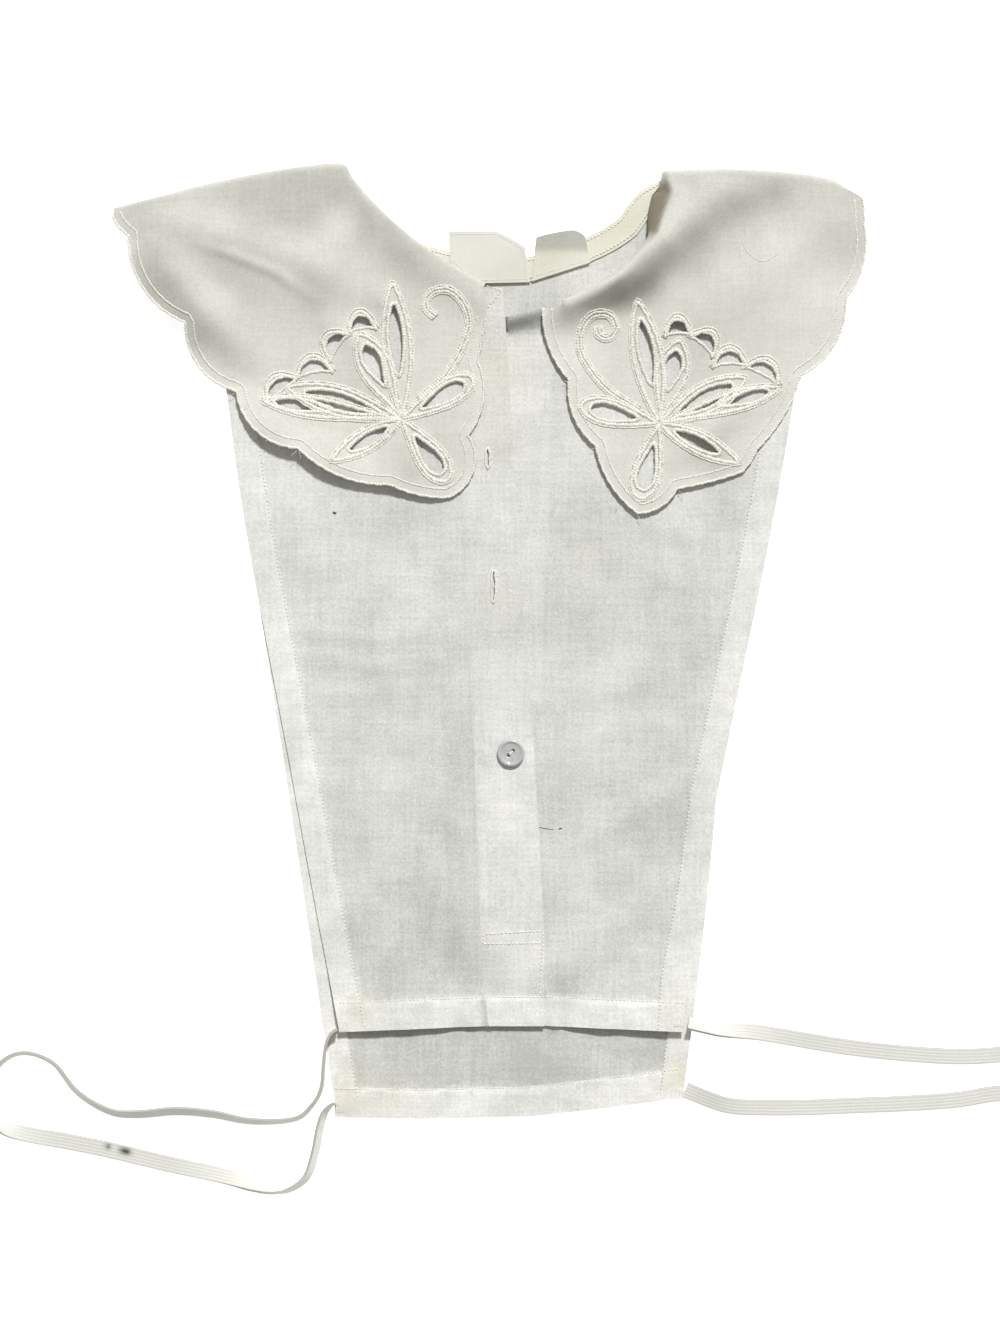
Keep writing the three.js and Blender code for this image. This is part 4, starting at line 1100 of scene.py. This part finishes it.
ys = np.arange(-172, 150, 2.0)
fold_line = np.column_stack([fold_x(ys), ys])
facing_line = np.column_stack([facing_x(ys), ys])
tab_folds = [edge([(x, -157, 0), (x + 1.2, -171.5, 0)]) for x in (-3.9, -1.7)]
left_hems = [hem_line(FRONT_LEFT_SIDE, SIDE_HEM), hem_line(FRONT_LEFT_HEM, BOTTOM_HEM)]
right_hems = [hem_line(FRONT_RIGHT_SIDE, SIDE_HEM), hem_line(FRONT_RIGHT_HEM, BOTTOM_HEM)]
neck_rows = [edge([(8.4, 144.6 + k, 0), (16, 147 + k, 0), (26, 150.4 + k, 0)]) for k in (-8, -6, -4, -2, 0)]
neck_rows.append(edge([(placket_edge(y) + 1.1, y, 0) for y in (134, 146)]))
back_hems = [
    hem_line(BACK_LEFT_SIDE[:-1], BACK_SIDE_HEM), hem_line(BACK_HEM, BOTTOM_HEM),
    hem_line(BACK_RIGHT_SIDE, BACK_SIDE_HEM),
]
FRONT_LEFT_EDGE = FRONT_LEFT_SIDE + FRONT_LEFT_HEM[1:-1] + PLACKET_EDGE + FRONT_LEFT_NECK[1:]
FRONT_RIGHT_EDGE = UNDERLAP[1:] + FRONT_RIGHT_HEM[1:] + FRONT_RIGHT_SIDE[1:] + FRONT_RIGHT_NECK[1:]
BACK_EDGE = BACK_LEFT_SIDE + BACK_HEM[1:] + BACK_RIGHT_SIDE[1:] + NECKLINE

BUTTONHOLES = [(-1.2, 86.4, 77.6), (1.4, 31.8, 17.6)]  # x, top y, bottom y
slits = [leaf(np.array([x, low]), np.array([x, high]), 1.1, 1, 0, True) for x, high, low in BUTTONHOLES]
front_left = lawn_piece(
    "front_left_cloth", edge(FRONT_LEFT_EDGE, BIB_OUTLINE_STEP, closed=True), slits, BIB_STEP, left_top,
    front_left_full_and_shade, materials["lawn"], left_hems + [fold_line] + tab_folds,
)
front_right = lawn_piece(
    "front_right_cloth", edge(FRONT_RIGHT_EDGE, BIB_OUTLINE_STEP, closed=True), [], BIB_STEP, right_top,
    front_right_full_and_shade, materials["lawn"], right_hems + [facing_line] + neck_rows,
)
back_panel = lawn_piece(
    "back_cloth", edge(BACK_EDGE, BIB_OUTLINE_STEP, closed=True), [], BIB_STEP, back_top, back_full,
    materials["lawn"], back_hems,
)
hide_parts("front_left")
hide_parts("front_right")
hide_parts("back_panel")


def sewn(name, parts):
    """Rows of sewing thread as one piece."""
    vertices, faces = joined(parts)
    made = piece(name, vertices, faces, materials["sewing"], 0)
    return made


PLACKET_END = [(-3.4, -136.2), (-3.2, -131.6), (23.6, -130.1), (23.8, -135.8)]  # its box of stitching
box = [
    edge([(x, y, 0) for x, y in PLACKET_END]),
    edge([(-3.4, -135.9, 0), (23.4, -135.6, 0)]),
    edge([(23.4, -135.6, 0), (22.2, -158.8, 0)]),
]
corner = edge([(-2, 159.5, 0), (5.2, 157.4, 0), (-1.4, 149.4, 0)])
sewn("front_left_stitching", [stitches(path, left_top) for path in left_hems + box + [corner]])
bars = []
for slit in slits:
    bars.append(cord_on(swollen(slit, 0.45), left_top, 1.0, 1.1, True, 0.6)[:2])
sewn("buttonhole_stitching", bars)
sewn("front_right_stitching", [stitches(path, right_top) for path in right_hems])
sewn("back_stitching", [stitches(path, back_top) for path in back_hems])

# Collar
left_rows = (FLAP_LEFT_SCALLOPS[:-1], FLAP_LEFT_NECK, FLAP_LEFT_SHOULDER, True)
right_rows = (FLAP_RIGHT_SCALLOPS[1:], FLAP_RIGHT_NECK, FLAP_RIGHT_SHOULDER, False)
collar_left, satin_left, flap_left_top = collar_half(
    "collar_left_cloth", left_rows, flap_left_low, flap_left_seat, FLAP_LEFT_LIFT, FLOWER_LEFT,
    BACK_HALF_LEFT + NECK_LEFT + FLAP_LEFT_SHOULDER, 0,
)
collar_right, satin_right, flap_right_top = collar_half(
    "collar_right_cloth", right_rows, flap_right_low, flap_right_seat, FLAP_RIGHT_LIFT, FLOWER_RIGHT,
    BACK_HALF_RIGHT + FLAP_RIGHT_SHOULDER + NECK_RIGHT, 8,
)
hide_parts("collar_left")
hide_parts("collar_right")

# Neck binding and labels
neck_edge = resampled(edge([(75, 206.6, 0)] + NECKLINE[1:-1]), 1.5)
neck_inner = neck_edge - right_normals(neck_edge) * BINDING_WIDTH
BINDING_LOW = front_low(0.0, BACK_DROP[1])
LABEL_LOW = BINDING_LOW + LAYER


def binding_top(x, y):
    """The binding's face, softly rounded across its width."""
    across = nearest_on(neck_edge, np.stack([x, y], 1))[0] / BINDING_WIDTH
    rounded = 0.35 * np.sin(math.pi * np.clip(across, 0, 1)) ** 0.5
    return BINDING_LOW - 0.3 + LAWN + rounded + ripple(x, y, 5, 0.15)


binding = lawn_piece(
    "neck_binding_cloth", np.concatenate([neck_edge, neck_inner[::-1]]), [], BINDING_STEP, binding_top,
    lambda x, y: np.full_like(x, 0.6), materials["tape"],
)
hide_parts("neck_binding")
sewn("binding_stitching", [
    stitches(neck_edge - right_normals(neck_edge) * inset, binding_top)
    for inset in (1.5, BINDING_WIDTH - 1.5)
])


def label_top(x, y):
    """Both labels lie on the binding."""
    return LABEL_LOW - 0.5 + ripple(x, y, 6, 0.4)


neck_label = lawn_piece(
    "neck_label_cloth", edge(NECK_LABEL, closed=True), [], LABEL_STEP, label_top,
    lambda x, y: np.full_like(x, 0.6), materials["label"],
)
# The care label is folded double, and its lower part looks palest
care_label = lawn_piece(
    "care_label_cloth", edge(CARE_LABEL, closed=True), [], LABEL_STEP, label_top,
    lambda x, y: 0.85 * (1 - smooth(y, 173, 177.5)) + 0.08, materials["care"],
)
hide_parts("neck_label")
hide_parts("care_label")
sewn("label_stitching", [
    stitches(swollen(edge(NECK_LABEL, closed=True), -1.4), label_top, 1.3, 0.9, 0.3, 0.2),
    stitches(edge([(20.6, 164, 0), (43, 171.2, 0)]), label_top, 1.3, 0.9, 0.3, 0.2),
])


# Button: a lathed disc with two holes and the thread that holds it
def lathe(profile, count=56):
    """A turned solid from its profile of (radius, height)."""
    vertices = [(0, 0, profile[0][1]), (0, 0, profile[-1][1])]
    rings = profile[1:-1]
    faces = []
    turns = np.linspace(0, 2 * math.pi, count, False)
    for r, z in rings:
        vertices += [(r * math.cos(a), r * math.sin(a), z) for a in turns]
    at = lambda ring, k: 2 + ring * count + k % count
    for k in range(count):
        faces.append([0, at(0, k + 1), at(0, k)])
        faces.append([1, at(len(rings) - 1, k), at(len(rings) - 1, k + 1)])
        for i in range(len(rings) - 1):
            faces.append([at(i, k), at(i, k + 1), at(i + 1, k + 1), at(i + 1, k)])
    return np.array(vertices), faces


BUTTON_PROFILE = [
    (0, 0), (4.2, 0), (5.3, 0.4), (6.05, 1.0), (6.15, 1.4), (5.95, 1.9), (5.5, 2.18), (5.1, 2.2),
    (4.75, 2.0), (4.5, 1.72), (4.2, 1.62), (2.6, 1.5), (0, 1.45),
]
HOLE_RADIUS, HOLE_PITCH = 0.8, 1.9
button_low = front_left_low(BUTTON_X, BUTTON_Y) + LAYER
vertices, faces = lathe(BUTTON_PROFILE)
button = piece("button_disc", vertices + [BUTTON_X, BUTTON_Y, button_low], faces, materials["button"])
for side in (-1, 1):
    ring = [(0, -1), (HOLE_RADIUS, -1), (HOLE_RADIUS, 4), (0, 4)]
    vertices, faces = lathe(ring, 20)
    centre = [BUTTON_X + side * HOLE_PITCH / 2, BUTTON_Y + side * HOLE_PITCH / 2, button_low]
    drill = piece("drill", vertices + centre, faces, materials["button"], 0)
    cut = button.modifiers.new("hole", "BOOLEAN")
    cut.operation, cut.object, cut.solver = "DIFFERENCE", drill, "EXACT"
    bpy.context.view_layer.objects.active = button
    bpy.ops.object.modifier_apply(modifier=cut.name)
    bpy.data.objects.remove(drill)
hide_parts("button")
strands = []
for k in (-0.28, 0, 0.28):
    t = np.linspace(-1, 1, 9)
    middle = np.array([BUTTON_X - k * 0.7, BUTTON_Y + k * 0.7])
    path = middle + t[:, None] * np.array([1, 1]) * HOLE_PITCH / 2
    rise = button_low + 1.75 - 1.5 * np.abs(t) ** 6  # across between the holes, and down into both
    strands.append(tube(np.column_stack([path, rise]), 0.34, 0.34))
sewn("button_thread", strands)


# Elastic loops
# Two dark stains on the left band: x, y, size, amount
ELASTIC_MARKS = [(-172, -227.2, 1.5, 0.8), (-165.4, -229, 1.7, 0.9), (-163, -229.6, 1.6, 0.9)]


def elastic(name, node, rows):
    """A flat ribbed band along its loop."""
    plan = [1, 1, 0.001, 0.001]  # roll and lift hardly count in the distance between two points
    path = resampled(spline(rows, 8) * plan, ELASTIC_STEP) / plan
    angle = -np.radians(np.clip(path[:, 2], 0, 120))
    lift = np.maximum(0, path[:, 3])
    along = np.gradient(path[:, :2], axis=0)
    along /= np.linalg.norm(along, axis=1)[:, None]
    left = np.column_stack([-along[:, 1], along[:, 0], np.zeros(len(path))])
    up = np.array([0, 0, 1.0])
    across = left * np.cos(angle)[:, None] + up * np.sin(angle)[:, None]
    face = up * np.cos(angle)[:, None] - left * np.sin(angle)[:, None]
    rise = (ELASTIC_WIDTH * np.abs(np.sin(angle)) + ELASTIC_THICK * np.abs(np.cos(angle))) / 2 + lift
    centre = np.column_stack([path[:, :2], rise])
    v = np.linspace(-0.5, 0.5, ELASTIC_RIBS * 4 + 1)
    bulge = 0.5 - 0.1 * (1 - np.abs(np.sin(math.pi * (v + 0.5) * ELASTIC_RIBS)))
    section = np.concatenate([np.column_stack([v, bulge]), np.column_stack([v, -bulge])[::-1]])
    n, m = len(path), len(section)
    vertices = (
        centre[:, None] + across[:, None] * (section[:, 0] * ELASTIC_WIDTH)[None, :, None]
        + face[:, None] * (section[:, 1] * ELASTIC_THICK)[None, :, None]
    )
    faces = [face[::-1] for face in ring_faces(n, m)]
    made = piece(name, vertices.reshape(-1, 3), faces, materials["elastic"], 50)
    add_attribute(made, "fullness_and_painted_light", np.full(n * m, 0.7))
    spots = vertices.reshape(-1, 3)
    # Painted shade: a grey line along both edges of the band
    painted_edge_shade = np.tile(0.4 * (np.abs(section[:, 0]) > 0.49), n)
    add_attribute(made, "soiling_and_painted_shade", patches(ELASTIC_MARKS, spots[:, 0], spots[:, 1]) + painted_edge_shade)
    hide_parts(node)
    return made


elastic("elastic_left_band", "elastic_left", LOOP_LEFT)
elastic("elastic_right_band", "elastic_right", LOOP_RIGHT)


# Small marks: a speck of lint, a dark thread end and loose threads
def strand(rows, top, width, step=0.8):
    """A loose thread that lies on the cloth."""
    path = resampled(spline(rows), step)
    return tube(laid(path, top, 0.12), width, width * 0.8, sides=5)


lint = woven("grey_lint", thin="5c5c56", full="6e6e66", thread_mm=0.6, roughness=0.9)  # dark matt fluff
speck_parts = [
    strand([(-70.6, 58.1), (-70, 57.4), (-69.4, 57.9)], left_top, 0.9, 0.3),
    strand([(21.9, -83.6), (25, -84.3), (28.4, -84.6)], right_top, 0.28),
    strand([(30.8, -84.4), (31.5, -84.1), (32.2, -84.3)], right_top, 0.6, 0.3),
]
specks = piece("lint", *joined(speck_parts), lint, 0)
FRAYS = [  # loose thread ends along the scallops: x, y, then how far each end stands off
    (-71.4, 79.6, 0.6, -3), (-108.6, 104.6, -2.4, -1.2), (104.4, 81, 2.4, -1.2),
    (57.4, 61.4, -1.4, -2.4), (-86.6, 85.2, -2.6, -2.2), (-85.4, 84.6, 0.6, -3.2),
    (-114.6, 111.2, -2.8, -1.4), (-99, 91.6, -1.8, -2.4), (66.4, 56.2, 1.2, -2.6),
    (84.6, 67.4, 2, -2), (47.2, 86.8, -2.4, -0.8), (35.2, 116.2, -2.2, 0.4),
]
HAIR = [(111.6, 183.6), (115, 174.6), (121.7, 170), (128.4, 173.4), (130.7, 178)]
BUTTONHOLE_END = [(1.9, 29.2), (4.4, 29.6), (7.2, 31.4), (8.6, 31.2)]
frays = []
for x, y, dx, dy in FRAYS:
    flap_top = flap_left_top if x < 0 else flap_right_top
    frays.append(strand([(x, y), (x + dx * 0.5, y + dy * 0.6), (x + dx, y + dy)], flap_top, 0.22))
frays.append(strand(HAIR, flap_right_top, 0.25))
frays.append(strand(BUTTONHOLE_END, left_top, 0.3))
sewn("loose_threads", frays)
TACKS = [  # where the loops are sewn into the hems: x, y, the cloth that carries the tack
    (84.2, -170.6, right_top), (84.8, -203.6, back_top), (-66.2, -172.6, left_top), (-68, -209.6, back_top),
]
TACK_HEIGHT, TACK_ROWS, TACK_PITCH = 4.8, 5, 0.9
tacks = []
for x, y, under in TACKS:
    for k in range(TACK_ROWS):
        row = x - 1.8 + k * TACK_PITCH
        ends = [(row, y + TACK_HEIGHT / 2), (row + 0.5, y), (row, y - TACK_HEIGHT / 2)]
        tacks.append(strand(ends, under, 0.4))
sewn("bar_tacks", tacks)


# Floor, light and camera
def white_paper():
    """Matt white paper lit until it is as white as the photo's ground, which hides its own shadows."""
    material, tree = new_material("white_paper")
    end_in_surface(tree, {
        "Base Color": colour("fafafa"), "Roughness": 0.9, "Emission Color": colour("ffffff"),
        "Emission Strength": 0.7,
    })
    return material


FLOOR, FLOOR_GAP = 3.0, 0.0003  # half the floor's side and what it lies below the cloth, in metres
mesh = bpy.data.meshes.new("floor")
corners = [(-FLOOR, -FLOOR, 0), (FLOOR, -FLOOR, 0), (FLOOR, FLOOR, 0), (-FLOOR, FLOOR, 0)]
mesh.from_pydata(corners, [], [(0, 1, 2, 3)])
floor = bpy.data.objects.new("floor", mesh)
floor.location.z = -FLOOR_GAP
mesh.materials.append(white_paper())
bpy.context.scene.collection.objects.link(floor)

# A low light from the neck side draws the folds, and the room fills the shade with a warm tone
WINDOW, WINDOW_ENERGY, WINDOW_ANGLE = (0.25, 1.0, 1.15), 3.04, 7
ROOM, ROOM_STRENGTH = (1, 0.98, 0.92, 1), 0.31
scene = bpy.context.scene
scene.view_settings.view_transform = "Standard"
world = bpy.data.worlds.new("studio")
world.use_nodes = True
background = world.node_tree.nodes["Background"].inputs
background["Color"].default_value = ROOM
background["Strength"].default_value = ROOM_STRENGTH
scene.world = world

lamp = bpy.data.lights.new("window_light", "SUN")
lamp.energy = WINDOW_ENERGY
lamp.angle = math.radians(WINDOW_ANGLE)
lamp.color = (1, 0.995, 0.99)
window = bpy.data.objects.new("window_light", lamp)
window.location = WINDOW
window.rotation_euler = (-window.location).to_track_quat("-Z", "Y").to_euler()
scene.collection.objects.link(window)

CAMERA_HEIGHT, VIEW_LONG_SIDE = 1.6, 0.5985
PHOTO_MIDDLE = (0.0043, -0.0107)
lens = bpy.data.cameras.new("camera")
lens.lens = lens.sensor_width * CAMERA_HEIGHT / VIEW_LONG_SIDE
camera = bpy.data.objects.new("camera", lens)
camera.location = (*PHOTO_MIDDLE, CAMERA_HEIGHT)
scene.collection.objects.link(camera)
scene.camera = camera
